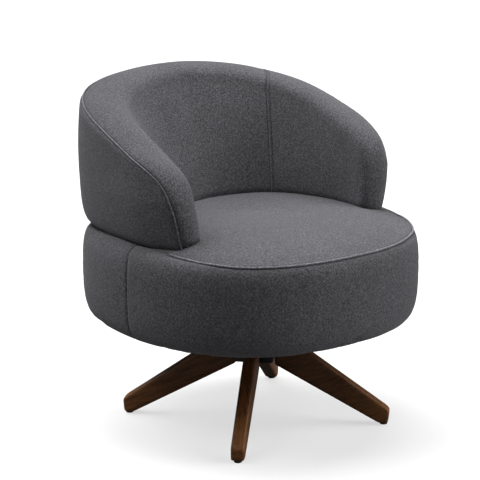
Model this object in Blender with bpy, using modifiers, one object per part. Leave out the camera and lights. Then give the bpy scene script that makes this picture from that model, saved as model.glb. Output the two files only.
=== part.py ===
# Swivel armchair: a round upholstered seat and a wrap-around back on a four-legged wooden swivel base.
# Units are metres, +Z is up, and the sitter faces -Y.
# The origin is on the floor, midway between the front of the seat and the rear of the back.

import math

import bmesh
import bpy
import numpy as np
from mathutils import Matrix, Vector

# Clearances
GAP = 0.0003                 # between two rigid pieces that touch
SOFT_GAP = 0.0014            # between a cover and the foam that fills it
POCKET_GAP = 0.0008          # round the back where it stands in the seat
FRAME_GAP = 0.0040           # between the frame inside the back and the foam round it
RAIL_GAP = 0.0011            # between the ribs and the top rail on them
RIB_GAP = 0.0028             # between the ribs or top rail and the bent panels
RUNNING_GAP = 0.0005         # round the spindle
HEAD_ROOM = 0.003            # round the spindle's head in the board
DRILL_PAST = 0.001           # how far a hole goes on past the tip of what it holds
DRILL_BEFORE = 0.002         # how far before the face a drill starts
CHAMFER = 0.001              # on turned metal and nylon pieces

# Base: four blade legs on a square steel hub
SWIVEL_Y = -0.030            # the swivel axis, forward of the middle of the chair
FOOT_RADIUS = 0.306          # from the swivel axis to the outer end of a leg
FOOT_TOP_Z = 0.034           # height of a leg's outer end
FOOT_LENGTH = 0.024          # length of the flat under a leg
FOOT_TOE = 0.003             # the end face of a leg leans in by this much at the floor
FOOT_CORNER = 0.008          # cut off the corner between the end face and the top of a leg
LEG_SHOULDER = 0.004         # length of the level top of a leg at the hub
LEG_THICKNESS = 0.030
LEG_TOP_Z = 0.2165           # top of a leg at the hub
LEG_HEEL_Z = 0.133           # underside of a leg at the hub
LEG_EDGE_ROUND = 0.0045
LEG_TURN = math.radians(45.0)
HUB_WIDTH = 0.088
HUB_BOTTOM_Z = 0.145
HUB_WALL = 0.004
HUB_EDGE_ROUND = 0.004
GLIDE_INSET = 0.0135          # from a leg's outer end to the middle of its glide
GLIDE_RADIUS = 0.009
GLIDE_HEIGHT = 0.004
GLIDE_PIN_RADIUS = 0.0015
GLIDE_PIN_LENGTH = 0.014
LEG_BOLT_RADIUS = 0.003
LEG_BOLT_HEAD_RADIUS = 0.0055
LEG_BOLT_HEAD_LENGTH = 0.004
LEG_BOLT_REACH = 0.030       # how far a bolt goes into the leg
LEG_BOLT_HEIGHTS = (0.162, 0.192)

# Swivel bearing
LOWER_PLATE_RADIUS = 0.080
LOWER_PLATE_THICKNESS = 0.009
RACE_THICKNESS = 0.006
RACE_WIDTH = 0.018
BALL_CIRCLE_RADIUS = 0.057
BALL_RADIUS = 0.005
BALL_COUNT = 6
GROOVE_DEPTH = 0.003
GROOVE_SLACK = 0.0008        # the groove's radius is larger than a ball's by this
CAGE_THICKNESS = 0.002
CAGE_WIDTH = 0.015
UPPER_PLATE_WIDTH = 0.170
UPPER_PLATE_THICKNESS = 0.004
UPPER_PLATE_CORNER = 0.012
SPINDLE_RADIUS = 0.006
SPINDLE_HEAD_RADIUS = 0.012
SPINDLE_HEAD_LENGTH = 0.004
NUT_RADIUS = 0.011
NUT_LENGTH = 0.008
NUT_ROOM = 0.001             # between the nut and the hub's top
SPINDLE_TIP = 0.003          # of the spindle under the nut
PLATE_SCREW_SPACING = 0.140
PLATE_SCREW_RADIUS = 0.002
PLATE_SCREW_HEAD_RADIUS = 0.0045
PLATE_SCREW_HEAD_LENGTH = 0.0025
PLATE_SCREW_REACH = 0.014

# Seat cushion: a rounded-square drum with a crowned top
SEAT_HALF_WIDTH = 0.360
SEAT_FRONT = 0.376           # from the origin to the front of the seat
SEAT_REAR = 0.350            # from the origin to the rear of the seat
SEAT_SQUARENESS = 2.3        # 2 is an ellipse, more is squarer
SEAT_WIDEST_Z = 0.366
SEAT_SEAM_Z = 0.4560
SEAT_SEAM_INSET = 0.028      # the top seam lies this far in from the widest line
SEAT_UNDER_INSET = 0.054     # how far the side draws in at the underside
SEAT_UNDER_ROUND = 3.4
SEAT_SHOULDER_ROUND = 2.8
SEAT_CROWN = 0.026           # rise of the middle of the seat above the seam
SEAT_CROWN_ROUND = 2.6
COVER_THICKNESS = 0.0015
COVER_TURN_IN = 0.035        # width of cover folded under the board
SEAT_COLUMNS = 36
UNDER_STEPS = (1.0, 0.90, 0.70, 0.38, 0.0)
SHOULDER_STEPS = (0.45, 0.94, 1.0)
CROWN_STEPS = (0.62,)

# Frame inside the seat
FRAME_INSET = 0.062          # from the widest line of the cushion to the wooden frame
BOARD_THICKNESS = 0.018
RING_TOP_Z = 0.430
RING_THICKNESS = 0.020
RING_WIDTH = 0.062
POST_COUNT = 4
POST_WIDTH = 0.044
POST_DEPTH = 0.028
POST_EDGE_ROUND = 0.002
WEBBING_WIDTH = 0.050
WEBBING_THICKNESS = 0.0015
WEBBING_SPACING = 0.150
WEBBING_COUNT = 2            # straps each way
DUST_COVER_THICKNESS = 0.0008
DUST_COVER_MARGIN = 0.008
DUST_COVER_OPENING = 0.128

# Back: a crescent whose top slopes down into the arms and turns down to the seat at their ends
BACK_BOTTOM_Z = 0.452
BACK_TOP_Z = 0.766
BACK_CENTRE_Y = 0.018
BACK_SIDE_SETBACK = 0.023    # from the seat's widest line to the back's outside, at the sides
BACK_DEPTH = 0.3689          # from its own centre to the rear
BACK_SQUARENESS = 2.6
ARM_END_ANGLE = math.radians(120.0)
ARM_DROP = 0.49              # share of the back's height that the rim loses by the arm ends
ARM_DROP_POWER = 1.75
ARM_SHOULDER_POWER = 30.0    # the higher, the tighter the rim turns down at the arm ends
RIM_RADIUS = 0.340           # mean radius by which angles round the back become lengths
RIM_WIDTHS = (0.095, 0.115, 0.066)      # at the rear, at the side and at the arm end
RIM_OUTER_DEPTH = 0.012      # the outer seam lies this far under the rim's crest
RIM_INNER_DEPTH = 0.030      # where the rim has rolled over into the inside
RIM_CREST = 0.45             # where the crest lies across the rim's width
SEAM_INSET_REAR = 0.036
SEAM_INSET_ARM = 0.006
SIDE_LEAN = 0.013            # the outside leans out by this much towards the rim
LEAN_HEIGHT = 0.250          # over this height
EDGE_FADE = 0.100            # where the wall is lower than this, near the arm ends, its curves fade
UNDER_ROLL = 0.020           # the outside rolls in by this much at the bottom
UNDER_ROLL_ARM = 0.012       # the same at the arm ends
UNDER_ROLL_HEIGHT = 0.050
INNER_CENTRE_Y = -0.100
INNER_RADIUS = 0.214         # of the inside at the seat
INNER_END_ANGLE = math.radians(99.5)
INNER_BULGE = 0.010
BACK_COLUMNS = 22            # from the rear to one arm end
TURN_WEIGHT = 0.13           # crowds the columns where the rim turns down
END_CROWDING = 1.15          # above 1, crowds them towards the arm ends
WALL_STEPS = (0.0, 0.05, 0.16, 0.5, 1.0)
RIM_STEPS = (0.20, 0.45, 0.70, 0.90, 1.0)
INNER_STEPS = (0.5, 0.0)

# Frame and foam inside the back
BACK_FOAM_OUTER = 0.020
BACK_FOAM_INNER = 0.045
BACK_FOAM_RIM = 0.040
BASE_RAIL_THICKNESS = 0.016
PANEL_THICKNESS = 0.005
RIB_THICKNESS = 0.015
RIB_SHARES = (-0.5, 0.0, 0.5)
FRAME_STEPS = 20
PANEL_LEVELS = (0.0, 0.25, 0.5, 0.75, 1.0)
FRAME_SHARE = 0.80           # share of the way to the arm end that the frame reaches
TOP_RAIL_THICKNESS = 0.012
BACK_BOLT_RADIUS = 0.004
BACK_BOLT_HEAD_RADIUS = 0.0075
BACK_BOLT_HEAD_LENGTH = 0.005
BACK_BOLT_REACH = 0.012      # how far a bolt goes into the base rail
BACK_BOLT_ANGLES = {"rear": 0.0, "right": math.radians(-84.0), "left": math.radians(84.0)}

# Sizes that follow from the ones above
BACK_HALF_WIDTH = SEAT_HALF_WIDTH - BACK_SIDE_SETBACK
HUB_TOP_Z = LEG_TOP_Z + 0.001
LOWER_PLATE_Z = HUB_TOP_Z + GAP
LOWER_RACE_Z = LOWER_PLATE_Z + LOWER_PLATE_THICKNESS + GAP
BALL_Z = LOWER_RACE_Z + RACE_THICKNESS + BALL_RADIUS + GAP - GROOVE_DEPTH
UPPER_RACE_Z = 2 * BALL_Z - LOWER_RACE_Z - RACE_THICKNESS
UPPER_PLATE_Z = UPPER_RACE_Z + RACE_THICKNESS + GAP
BOARD_Z = UPPER_PLATE_Z + UPPER_PLATE_THICKNESS + GAP
SEAT_BOTTOM_Z = BOARD_Z - GAP - COVER_THICKNESS
PAD_BOTTOM_Z = RING_TOP_Z + 2 * WEBBING_THICKNESS + 3 * GAP
POCKET_Z = BACK_BOTTOM_Z - POCKET_GAP

# Finishes: colour, roughness, metallic
FINISHES = {
    "walnut": ((0.060, 0.030, 0.018), 0.42, 0.0),
    "black_steel": ((0.020, 0.020, 0.022), 0.45, 0.8),
    "zinc_steel": ((0.55, 0.55, 0.56), 0.35, 1.0),
    "nylon": ((0.030, 0.030, 0.030), 0.60, 0.0),
    "plywood": ((0.52, 0.38, 0.22), 0.65, 0.0),
    "foam": ((0.80, 0.76, 0.62), 0.95, 0.0),
    "charcoal_cloth": ((0.105, 0.105, 0.115), 0.95, 0.0),
    "webbing_cloth": ((0.25, 0.20, 0.15), 0.90, 0.0),
    "lining_cloth": ((0.012, 0.012, 0.012), 0.95, 0.0),
}

SWIVEL = Vector((0.0, SWIVEL_Y, 0.0))


def clear_scene():
    for item in list(bpy.data.objects):
        bpy.data.objects.remove(item, do_unlink=True)


def new_collection(name):
    group = bpy.data.collections.new(name)
    bpy.context.scene.collection.children.link(group)
    return group


def finish_material(name):
    found = bpy.data.materials.get(name)
    if found:
        return found
    colour, roughness, metallic = FINISHES[name]
    made = bpy.data.materials.new(name)
    made.use_nodes = True
    shader = made.node_tree.nodes["Principled BSDF"]
    shader.inputs["Base Color"].default_value = (*colour, 1.0)
    shader.inputs["Roughness"].default_value = roughness
    shader.inputs["Metallic"].default_value = metallic
    made.diffuse_color = (*colour, 1.0)
    return made


def add_object(name, mesh, finish, group):
    piece = bpy.data.objects.new(name, mesh)
    group.objects.link(piece)
    mesh.materials.clear()
    mesh.materials.append(finish_material(finish))
    return piece


def add_empty(name, place, group):
    pivot = bpy.data.objects.new(name, None)
    pivot.location = place
    group.objects.link(pivot)
    return pivot


def attach(piece, pivot):
    """Parents a piece that was placed in world space, and leaves it where it is."""
    piece.parent = pivot
    piece.matrix_parent_inverse = Matrix.Translation(-pivot.location)


def mesh_of(name, points, faces, smooth_angle=35.0):
    """A closed mesh from points and faces, with doubled points joined and faces turned outwards."""
    form = bmesh.new()
    corners = [form.verts.new(point) for point in points]
    for face in faces:
        form.faces.new([corners[index] for index in face])
    bmesh.ops.remove_doubles(form, verts=form.verts, dist=1e-5)
    bmesh.ops.dissolve_degenerate(form, edges=form.edges, dist=1e-6)
    bmesh.ops.recalc_face_normals(form, faces=form.faces)
    mesh = bpy.data.meshes.new(name)
    form.to_mesh(mesh)
    form.free()
    mesh.shade_smooth()
    mesh.set_sharp_from_angle(angle=math.radians(smooth_angle))
    return mesh


def grid_faces(rows, columns, start=0, closed=False):
    """Quads of a grid of points, stored row by row."""
    last = columns if closed else columns - 1
    faces = []
    for row in range(rows - 1):
        for column in range(last):
            after = (column + 1) % columns
            low, high = start + row * columns, start + (row + 1) * columns
            faces.append((low + column, low + after, high + after, high + column))
    return faces


def loft(name, sections, finish, group, smooth_angle=35.0):
    """A closed solid through sections, each a ring of as many points, with a flat cap at both ends."""
    count = len(sections[0])
    points = [point for section in sections for point in section]
    faces = grid_faces(len(sections), count, closed=True)
    faces.append(tuple(range(count)))
    faces.append(tuple(range(len(points) - count, len(points))))
    return add_object(name, mesh_of(name, points, faces, smooth_angle), finish, group)


def turned(name, profile, finish, group, place, steps=32):
    """A turned piece: the profile holds radius and height, from the top down its outer side."""
    mesh = bpy.data.meshes.new(name)
    edges = [(index, index + 1) for index in range(len(profile) - 1)]
    if profile[0][0] > 0:
        edges.append((len(profile) - 1, 0))
    mesh.from_pydata([(radius, 0.0, height) for radius, height in profile], edges, [])
    piece = add_object(name, mesh, finish, group)
    piece.location = place
    spin = piece.modifiers.new("turn", "SCREW")
    spin.steps = steps
    spin.render_steps = steps
    spin.use_merge_vertices = True
    spin.merge_threshold = 0.0001
    spin.use_smooth_shade = True
    return piece


def flat_mesh(name, outlines, thickness):
    """A plate with its underside at zero: closed outlines in the plane, the inner ones cut as holes."""
    curve = bpy.data.curves.new(name, "CURVE")
    curve.dimensions = "2D"
    curve.fill_mode = "BOTH"
    curve.extrude = thickness / 2
    for outline in outlines:
        spline = curve.splines.new("POLY")
        spline.points.add(len(outline) - 1)
        for point, (x, y) in zip(spline.points, outline):
            point.co = (x, y, 0.0, 1.0)
        spline.use_cyclic_u = True
    drawing = bpy.data.objects.new(name, curve)
    bpy.context.scene.collection.objects.link(drawing)
    bpy.context.view_layer.update()
    mesh = bpy.data.meshes.new_from_object(drawing.evaluated_get(bpy.context.evaluated_depsgraph_get()))
    bpy.data.objects.remove(drawing, do_unlink=True)
    form = bmesh.new()
    form.from_mesh(mesh)
    bmesh.ops.remove_doubles(form, verts=form.verts, dist=1e-5)
    flat = math.radians(1.0)
    bmesh.ops.dissolve_limit(form, angle_limit=flat, verts=form.verts, edges=form.edges)
    bmesh.ops.recalc_face_normals(form, faces=form.faces)
    bmesh.ops.translate(form, verts=form.verts, vec=(0.0, 0.0, thickness / 2))
    form.to_mesh(mesh)
    form.free()
    mesh.name = name
    return mesh


def round_edges(piece, width, segments=2, angle=40.0):
    edge = piece.modifiers.new("rounded edges", "BEVEL")
    edge.width = width
    edge.segments = segments
    edge.limit_method = "ANGLE"
    edge.angle_limit = math.radians(angle)


def cut(piece, cutter):
    """Takes a cutter's shape out of a piece."""
    hole = piece.modifiers.new("cut by " + cutter.name, "BOOLEAN")
    hole.operation = "DIFFERENCE"
    hole.solver = "EXACT"
    hole.object = cutter


def make_cutter(name, mesh, group):
    cutter = bpy.data.objects.new(name, mesh)
    group.objects.link(cutter)
    cutter.display_type = "WIRE"
    cutter.hide_render = True
    return cutter


def drill(pieces, name, start, end, radius, cutters, sides=16):
    """Drills a round hole from one point to another through each of the pieces."""
    start, end = Vector(start), Vector(end)
    form = bmesh.new()
    bmesh.ops.create_cone(form, cap_ends=True, segments=sides, radius1=radius, radius2=radius,
                          depth=(end - start).length)
    mesh = bpy.data.meshes.new(name)
    form.to_mesh(mesh)
    form.free()
    cutter = make_cutter(name, mesh, cutters)
    cutter.rotation_mode = "QUATERNION"
    cutter.rotation_quaternion = (end - start).to_track_quat("Z", "Y")
    cutter.location = (start + end) / 2
    for piece in pieces:
        cut(piece, cutter)


def through_stations(share, first, middle, last, middle_at=0.6):
    """A smooth value that passes through three stations, at 0, middle_at and 1."""
    a = (share - middle_at) * (share - 1) / middle_at
    b = share * (share - 1) / (middle_at * (middle_at - 1))
    c = share * (share - middle_at) / (1 - middle_at)
    return a * first + b * middle + c * last


# The base

def radial(angle, distance, height, sideways=0.0):
    """A point at a distance from the swivel axis along a leg's direction."""
    return Vector((distance * math.cos(angle) - sideways * math.sin(angle),
                   SWIVEL_Y + distance * math.sin(angle) + sideways * math.cos(angle), height))


LEG_NAMES = ("rear_left", "rear_right", "front_right", "front_left")


def leg_angles():
    return {name: LEG_TURN + index * math.pi / 2 for index, name in enumerate(LEG_NAMES)}


def build_legs(group, cutters):
    """Blade legs, straight above and below, that taper from the hub down to a small foot."""
    inner = HUB_WIDTH / 2 + GAP
    floor = GLIDE_HEIGHT + GAP
    outline = [
        (inner, LEG_HEEL_Z),
        (FOOT_RADIUS - FOOT_LENGTH, floor),
        (FOOT_RADIUS - FOOT_TOE, floor),
        (FOOT_RADIUS, FOOT_TOP_Z),
        (FOOT_RADIUS - FOOT_CORNER, FOOT_TOP_Z + FOOT_CORNER),
        (inner + LEG_SHOULDER, LEG_TOP_Z),
        (inner, LEG_TOP_Z),
    ]
    legs = {}
    for name, angle in leg_angles().items():
        mesh = flat_mesh("leg_" + name, [outline], LEG_THICKNESS)
        mesh.transform(Matrix.Rotation(math.pi / 2, 4, "X"))
        mesh.transform(Matrix.Translation((0.0, LEG_THICKNESS / 2, 0.0)))
        leg = add_object("leg_" + name, mesh, "walnut", group)
        leg.location = SWIVEL
        leg.rotation_euler = (0.0, 0.0, angle)
        round_edges(leg, LEG_EDGE_ROUND, 2, 25.0)
        glide_at = FOOT_RADIUS - GLIDE_INSET
        drill([leg], "glide_hole_" + name, radial(angle, glide_at, 0.0),
              radial(angle, glide_at, GLIDE_PIN_LENGTH + DRILL_PAST), GLIDE_PIN_RADIUS + GAP, cutters, 12)
        turned("glide_" + name, [
            (0.0, GLIDE_PIN_LENGTH),
            (GLIDE_PIN_RADIUS, GLIDE_PIN_LENGTH - CHAMFER),
            (GLIDE_PIN_RADIUS, GLIDE_HEIGHT),
            (GLIDE_RADIUS, GLIDE_HEIGHT),
            (GLIDE_RADIUS, CHAMFER),
            (GLIDE_RADIUS - CHAMFER, 0.0),
            (0.0, 0.0),
        ], "nylon", group, radial(angle, glide_at, 0.0), 16)
        legs[name] = leg
    return legs


def build_hub(group, cutters, legs):
    """A square steel hub, open underneath, to whose sides the legs are bolted from inside."""
    form = bmesh.new()
    bmesh.ops.create_cube(form, size=1.0)
    mesh = bpy.data.meshes.new("leg_hub")
    form.to_mesh(mesh)
    form.free()
    height = HUB_TOP_Z - HUB_BOTTOM_Z
    mesh.transform(Matrix.Diagonal((HUB_WIDTH, HUB_WIDTH, height, 1.0)))
    hub = add_object("leg_hub", mesh, "black_steel", group)
    hub.location = SWIVEL + Vector((0.0, 0.0, (HUB_TOP_Z + HUB_BOTTOM_Z) / 2))
    hub.rotation_euler = (0.0, 0.0, LEG_TURN)
    round_edges(hub, HUB_EDGE_ROUND, 2)
    form = bmesh.new()
    bmesh.ops.create_cube(form, size=1.0)
    hollow = bpy.data.meshes.new("hub_hollow")
    form.to_mesh(hollow)
    form.free()
    width = HUB_WIDTH - 2 * HUB_WALL
    hollow.transform(Matrix.Diagonal((width, width, height, 1.0)))
    cutter = make_cutter("hub_hollow", hollow, cutters)
    cutter.location = hub.location - Vector((0.0, 0.0, HUB_WALL + DRILL_PAST))
    cutter.rotation_euler = hub.rotation_euler
    cut(hub, cutter)
    wall = HUB_WIDTH / 2 - HUB_WALL
    end = HUB_WIDTH / 2 + GAP + LEG_BOLT_REACH
    for name, angle in leg_angles().items():
        for index, height in enumerate(LEG_BOLT_HEIGHTS):
            label = f"{name}_{'lower' if index == 0 else 'upper'}"
            drill([hub, legs[name]], "bolt_hole_" + label, radial(angle, wall - DRILL_BEFORE, height),
                  radial(angle, end + DRILL_PAST, height), LEG_BOLT_RADIUS + GAP, cutters, 12)
            bolt = turned("leg_bolt_" + label, [
                (0.0, 0.0),
                (LEG_BOLT_RADIUS, -CHAMFER),
                (LEG_BOLT_RADIUS, -(end - wall + GAP)),
                (LEG_BOLT_HEAD_RADIUS, -(end - wall + GAP)),
                (LEG_BOLT_HEAD_RADIUS, -(end - wall + GAP + LEG_BOLT_HEAD_LENGTH)),
                (0.0, -(end - wall + GAP + LEG_BOLT_HEAD_LENGTH)),
            ], "zinc_steel", group, radial(angle, end, height), 10)
            bolt.rotation_euler = (0.0, math.pi / 2, angle)
    return hub


def groove_profile(top, facing_up):
    """A race's section, a rectangle with a round ball groove in one face, from the top down its outside."""
    inner = BALL_CIRCLE_RADIUS - RACE_WIDTH / 2
    outer = BALL_CIRCLE_RADIUS + RACE_WIDTH / 2
    radius = BALL_RADIUS + GROOVE_SLACK
    centre = top + radius - GROOVE_DEPTH
    half = math.acos((radius - GROOVE_DEPTH) / radius)
    arc = []
    for step in range(4):
        angle = half * (1 - 2 * step / 3)
        arc.append((BALL_CIRCLE_RADIUS + radius * math.sin(angle), centre - radius * math.cos(angle)))
    bottom = top - RACE_THICKNESS
    if facing_up:
        return [(outer, top), (outer, bottom), (inner, bottom), (inner, top)] + arc[::-1]
    flip = [(x, 2 * BALL_Z - z) for x, z in arc]
    low, high = 2 * BALL_Z - top, 2 * BALL_Z - bottom
    return [(outer, high), (outer, low)] + flip + [(inner, low), (inner, high)]


def build_swivel(group, cutters, hub, seat_pivot, cage_pivot):
    """Two plates on ball races, held together by a spindle with a nut inside the hub."""
    hole = SPINDLE_RADIUS + RUNNING_GAP
    lower = turned("swivel_lower_plate", [
        (hole, LOWER_PLATE_Z + LOWER_PLATE_THICKNESS),
        (LOWER_PLATE_RADIUS - 2 * CHAMFER, LOWER_PLATE_Z + LOWER_PLATE_THICKNESS),
        (LOWER_PLATE_RADIUS, LOWER_PLATE_Z + LOWER_PLATE_THICKNESS - 2 * CHAMFER),
        (LOWER_PLATE_RADIUS, LOWER_PLATE_Z),
        (hole, LOWER_PLATE_Z),
    ], "black_steel", group, SWIVEL, 32)
    drill([hub], "spindle_hole", (0.0, SWIVEL_Y, HUB_TOP_Z - HUB_WALL - 2 * DRILL_BEFORE),
          (0.0, SWIVEL_Y, HUB_TOP_Z + DRILL_BEFORE), hole, cutters, 16)
    turned("lower_race", groove_profile(LOWER_RACE_Z + RACE_THICKNESS, True), "zinc_steel", group, SWIVEL, 36)
    upper_race = turned("upper_race", groove_profile(LOWER_RACE_Z + RACE_THICKNESS, False),
                        "zinc_steel", group, SWIVEL, 36)
    attach(upper_race, seat_pivot)

    cage = turned("ball_cage", [
        (BALL_CIRCLE_RADIUS - CAGE_WIDTH / 2, BALL_Z + CAGE_THICKNESS / 2),
        (BALL_CIRCLE_RADIUS + CAGE_WIDTH / 2, BALL_Z + CAGE_THICKNESS / 2),
        (BALL_CIRCLE_RADIUS + CAGE_WIDTH / 2, BALL_Z - CAGE_THICKNESS / 2),
        (BALL_CIRCLE_RADIUS - CAGE_WIDTH / 2, BALL_Z - CAGE_THICKNESS / 2),
    ], "nylon", group, SWIVEL, 24)
    attach(cage, cage_pivot)
    for index in range(BALL_COUNT):
        angle = (index + 0.35) * 2 * math.pi / BALL_COUNT
        place = radial(angle, BALL_CIRCLE_RADIUS, BALL_Z)
        drill([cage], f"ball_pocket_{index + 1}", place - Vector((0, 0, CAGE_THICKNESS)),
              place + Vector((0, 0, CAGE_THICKNESS)), BALL_RADIUS + GAP, cutters, 12)
        form = bmesh.new()
        bmesh.ops.create_uvsphere(form, u_segments=10, v_segments=6, radius=BALL_RADIUS)
        mesh = bpy.data.meshes.new(f"ball_{index + 1}")
        form.to_mesh(mesh)
        form.free()
        mesh.shade_smooth()
        ball = add_object(f"ball_{index + 1}", mesh, "zinc_steel", group)
        ball.location = place
        attach(ball, cage_pivot)

    half, corner = UPPER_PLATE_WIDTH / 2, UPPER_PLATE_CORNER
    outline = []
    for quarter in range(4):
        for step in range(4):
            angle = quarter * math.pi / 2 + step * math.pi / 6
            turn = quarter * math.pi / 2 + math.pi / 4
            centre = (half - corner) * math.sqrt(2)
            outline.append((centre * math.cos(turn) + corner * math.cos(angle),
                            centre * math.sin(turn) + corner * math.sin(angle)))
    plate = add_object("swivel_upper_plate", flat_mesh("swivel_upper_plate", [outline],
                       UPPER_PLATE_THICKNESS), "black_steel", group)
    plate.location = SWIVEL + Vector((0.0, 0.0, UPPER_PLATE_Z))
    attach(plate, seat_pivot)
    drill([plate], "plate_hole", (0.0, SWIVEL_Y, UPPER_PLATE_Z - DRILL_BEFORE),
          (0.0, SWIVEL_Y, BOARD_Z + DRILL_PAST), SPINDLE_RADIUS + GAP, cutters, 16)

    nut_top = HUB_TOP_Z - HUB_WALL - GAP - NUT_ROOM
    spindle = turned("swivel_spindle", [
        (0.0, BOARD_Z + SPINDLE_HEAD_LENGTH),
        (SPINDLE_HEAD_RADIUS - CHAMFER, BOARD_Z + SPINDLE_HEAD_LENGTH),
        (SPINDLE_HEAD_RADIUS, BOARD_Z + SPINDLE_HEAD_LENGTH - CHAMFER),
        (SPINDLE_HEAD_RADIUS, BOARD_Z),
        (SPINDLE_RADIUS, BOARD_Z),
        (SPINDLE_RADIUS, nut_top - NUT_LENGTH - SPINDLE_TIP),
        (SPINDLE_RADIUS - CHAMFER, nut_top - NUT_LENGTH - SPINDLE_TIP - CHAMFER),
        (0.0, nut_top - NUT_LENGTH - SPINDLE_TIP - CHAMFER),
    ], "zinc_steel", group, SWIVEL, 16)
    attach(spindle, seat_pivot)
    form = bmesh.new()
    bmesh.ops.create_cone(form, cap_ends=True, segments=6, radius1=NUT_RADIUS, radius2=NUT_RADIUS,
                          depth=NUT_LENGTH)
    mesh = bpy.data.meshes.new("spindle_nut")
    form.to_mesh(mesh)
    form.free()
    nut = add_object("spindle_nut", mesh, "zinc_steel", group)
    nut.location = SWIVEL + Vector((0.0, 0.0, nut_top - NUT_LENGTH / 2))
    attach(nut, seat_pivot)
    drill([nut], "nut_hole", (0.0, SWIVEL_Y, nut_top - NUT_LENGTH - DRILL_BEFORE),
          (0.0, SWIVEL_Y, nut_top + DRILL_BEFORE), SPINDLE_RADIUS + GAP, cutters, 16)
    return plate


# The seat

def seat_plan(angle, inset):
    """The seat's outline, drawn in by an inset; the angle runs from the front towards +X."""
    across, along = math.sin(angle), -math.cos(angle)
    power = 2.0 / SEAT_SQUARENESS
    reach = SEAT_FRONT if along < 0 else SEAT_REAR
    return ((SEAT_HALF_WIDTH - inset) * math.copysign(abs(across) ** power, across),
            (reach - inset) * math.copysign(abs(along) ** power, along))


def seat_angles(count=SEAT_COLUMNS):
    return [2 * math.pi * index / count for index in range(count)]


def seat_ring(inset, height):
    return [(*seat_plan(angle, inset), height) for angle in seat_angles()]


def round_inset(share, depth, power):
    """How far a rounded corner has drawn in, a share of the way from its start to its end."""
    return depth * (1 - (1 - min(share, 1.0) ** power) ** (1 / power))


def side_point(share, offset):
    """Inset and height on the seat's side: shares below 0 go down to the underside, others up to the seam."""
    if share < 0:
        height = SEAT_WIDEST_Z + share * (SEAT_WIDEST_Z - SEAT_BOTTOM_Z - offset)
        return offset + round_inset(-share, SEAT_UNDER_INSET, SEAT_UNDER_ROUND), height
    height = SEAT_WIDEST_Z + share * (SEAT_SEAM_Z - offset - SEAT_WIDEST_Z)
    return offset + round_inset(share, SEAT_SEAM_INSET, SEAT_SHOULDER_ROUND), height


def crown_rings(offset):
    rings = []
    for share in CROWN_STEPS:
        height = SEAT_SEAM_Z - offset + SEAT_CROWN * (1 - share ** SEAT_CROWN_ROUND)
        ring = seat_ring(offset + SEAT_SEAM_INSET, height)
        rings.append([(x * share, y * share, z) for x, y, z in ring])
    return rings


def seat_rings(offset, lowest=-1.0):
    """Rings from the underside over the side and the seam to near the middle of the crown."""
    shares = [-step for step in UNDER_STEPS] + [PAD_SHARE] + list(SHOULDER_STEPS)
    rings = [seat_ring(*side_point(share, offset)) for share in sorted(shares) if share >= lowest]
    return rings + crown_rings(offset)


PAD_SHARE = (PAD_BOTTOM_Z - SEAT_WIDEST_Z) / (SEAT_SEAM_Z - SEAT_WIDEST_Z)


def build_seat_soft(group, cutters, pivot):
    """The cover, the crowned foam pad under its top and the foam band round the frame."""
    count = SEAT_COLUMNS
    top_z = SEAT_SEAM_Z + SEAT_CROWN

    def cover_rings(offset):
        inset, height = side_point(-1.0, offset)
        turn_in = seat_ring(inset + COVER_TURN_IN - 2 * offset, height)
        return [turn_in] + seat_rings(offset)

    outer, inner = cover_rings(0.0), cover_rings(COVER_THICKNESS)
    rows = len(outer)
    points = [point for ring in outer for point in ring] + [(0.0, 0.0, top_z)]
    second = len(points)
    points += [point for ring in inner for point in ring] + [(0.0, 0.0, top_z - COVER_THICKNESS)]
    faces = grid_faces(rows, count, closed=True) + grid_faces(rows, count, start=second, closed=True)
    for column in range(count):
        after = (column + 1) % count
        last = (rows - 1) * count
        faces.append((last + column, last + after, second - 1))
        faces.append((second + last + column, second + last + after, len(points) - 1))
        faces.append((column, after, second + after, second + column))
    cover = add_object("seat_cover", mesh_of("seat_cover", points, faces, 50.0), "charcoal_cloth", group)
    attach(cover, pivot)

    foam_offset = COVER_THICKNESS + SOFT_GAP
    rings = seat_rings(foam_offset, PAD_SHARE)
    rings[0] = [(x, y, PAD_BOTTOM_Z) for x, y, z in rings[0]]
    points = [point for ring in rings for point in ring] + [(0.0, 0.0, top_z - foam_offset)]
    faces = grid_faces(len(rings), count, closed=True)
    last = (len(rings) - 1) * count
    for column in range(count):
        faces.append((last + column, last + (column + 1) % count, len(points) - 1))
    faces.append(tuple(range(count)))
    pad = add_object("seat_foam_pad", mesh_of("seat_foam_pad", points, faces, 50.0), "foam", group)
    attach(pad, pivot)

    low = BOARD_Z
    shares = sorted([-step for step in UNDER_STEPS if step > 0] + [0.0, SHOULDER_STEPS[0], PAD_SHARE])
    outside = [seat_ring(*side_point(share, foam_offset)) for share in shares]
    outside[0] = [(x, y, low) for x, y, z in outside[0]]
    outside[-1] = [(x, y, PAD_BOTTOM_Z - GAP) for x, y, z in outside[-1]]
    inside = [seat_ring(FRAME_INSET - GAP, PAD_BOTTOM_Z - GAP), seat_ring(FRAME_INSET - GAP, low)]
    rings = outside + inside
    points = [point for ring in rings for point in ring]
    faces = grid_faces(len(rings), count, closed=True)
    start = (len(rings) - 1) * count
    for column in range(count):
        after = (column + 1) % count
        faces.append((start + column, start + after, after, column))
    band = add_object("seat_foam_band", mesh_of("seat_foam_band", points, faces, 50.0), "foam", group)
    attach(band, pivot)
    return cover, pad


def frame_outline(inset):
    return [seat_plan(angle, inset) for angle in seat_angles()]


def box_mesh(name, size):
    form = bmesh.new()
    bmesh.ops.create_cube(form, size=1.0)
    mesh = bpy.data.meshes.new(name)
    form.to_mesh(mesh)
    form.free()
    mesh.transform(Matrix.Diagonal((*size, 1.0)))
    return mesh


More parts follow.
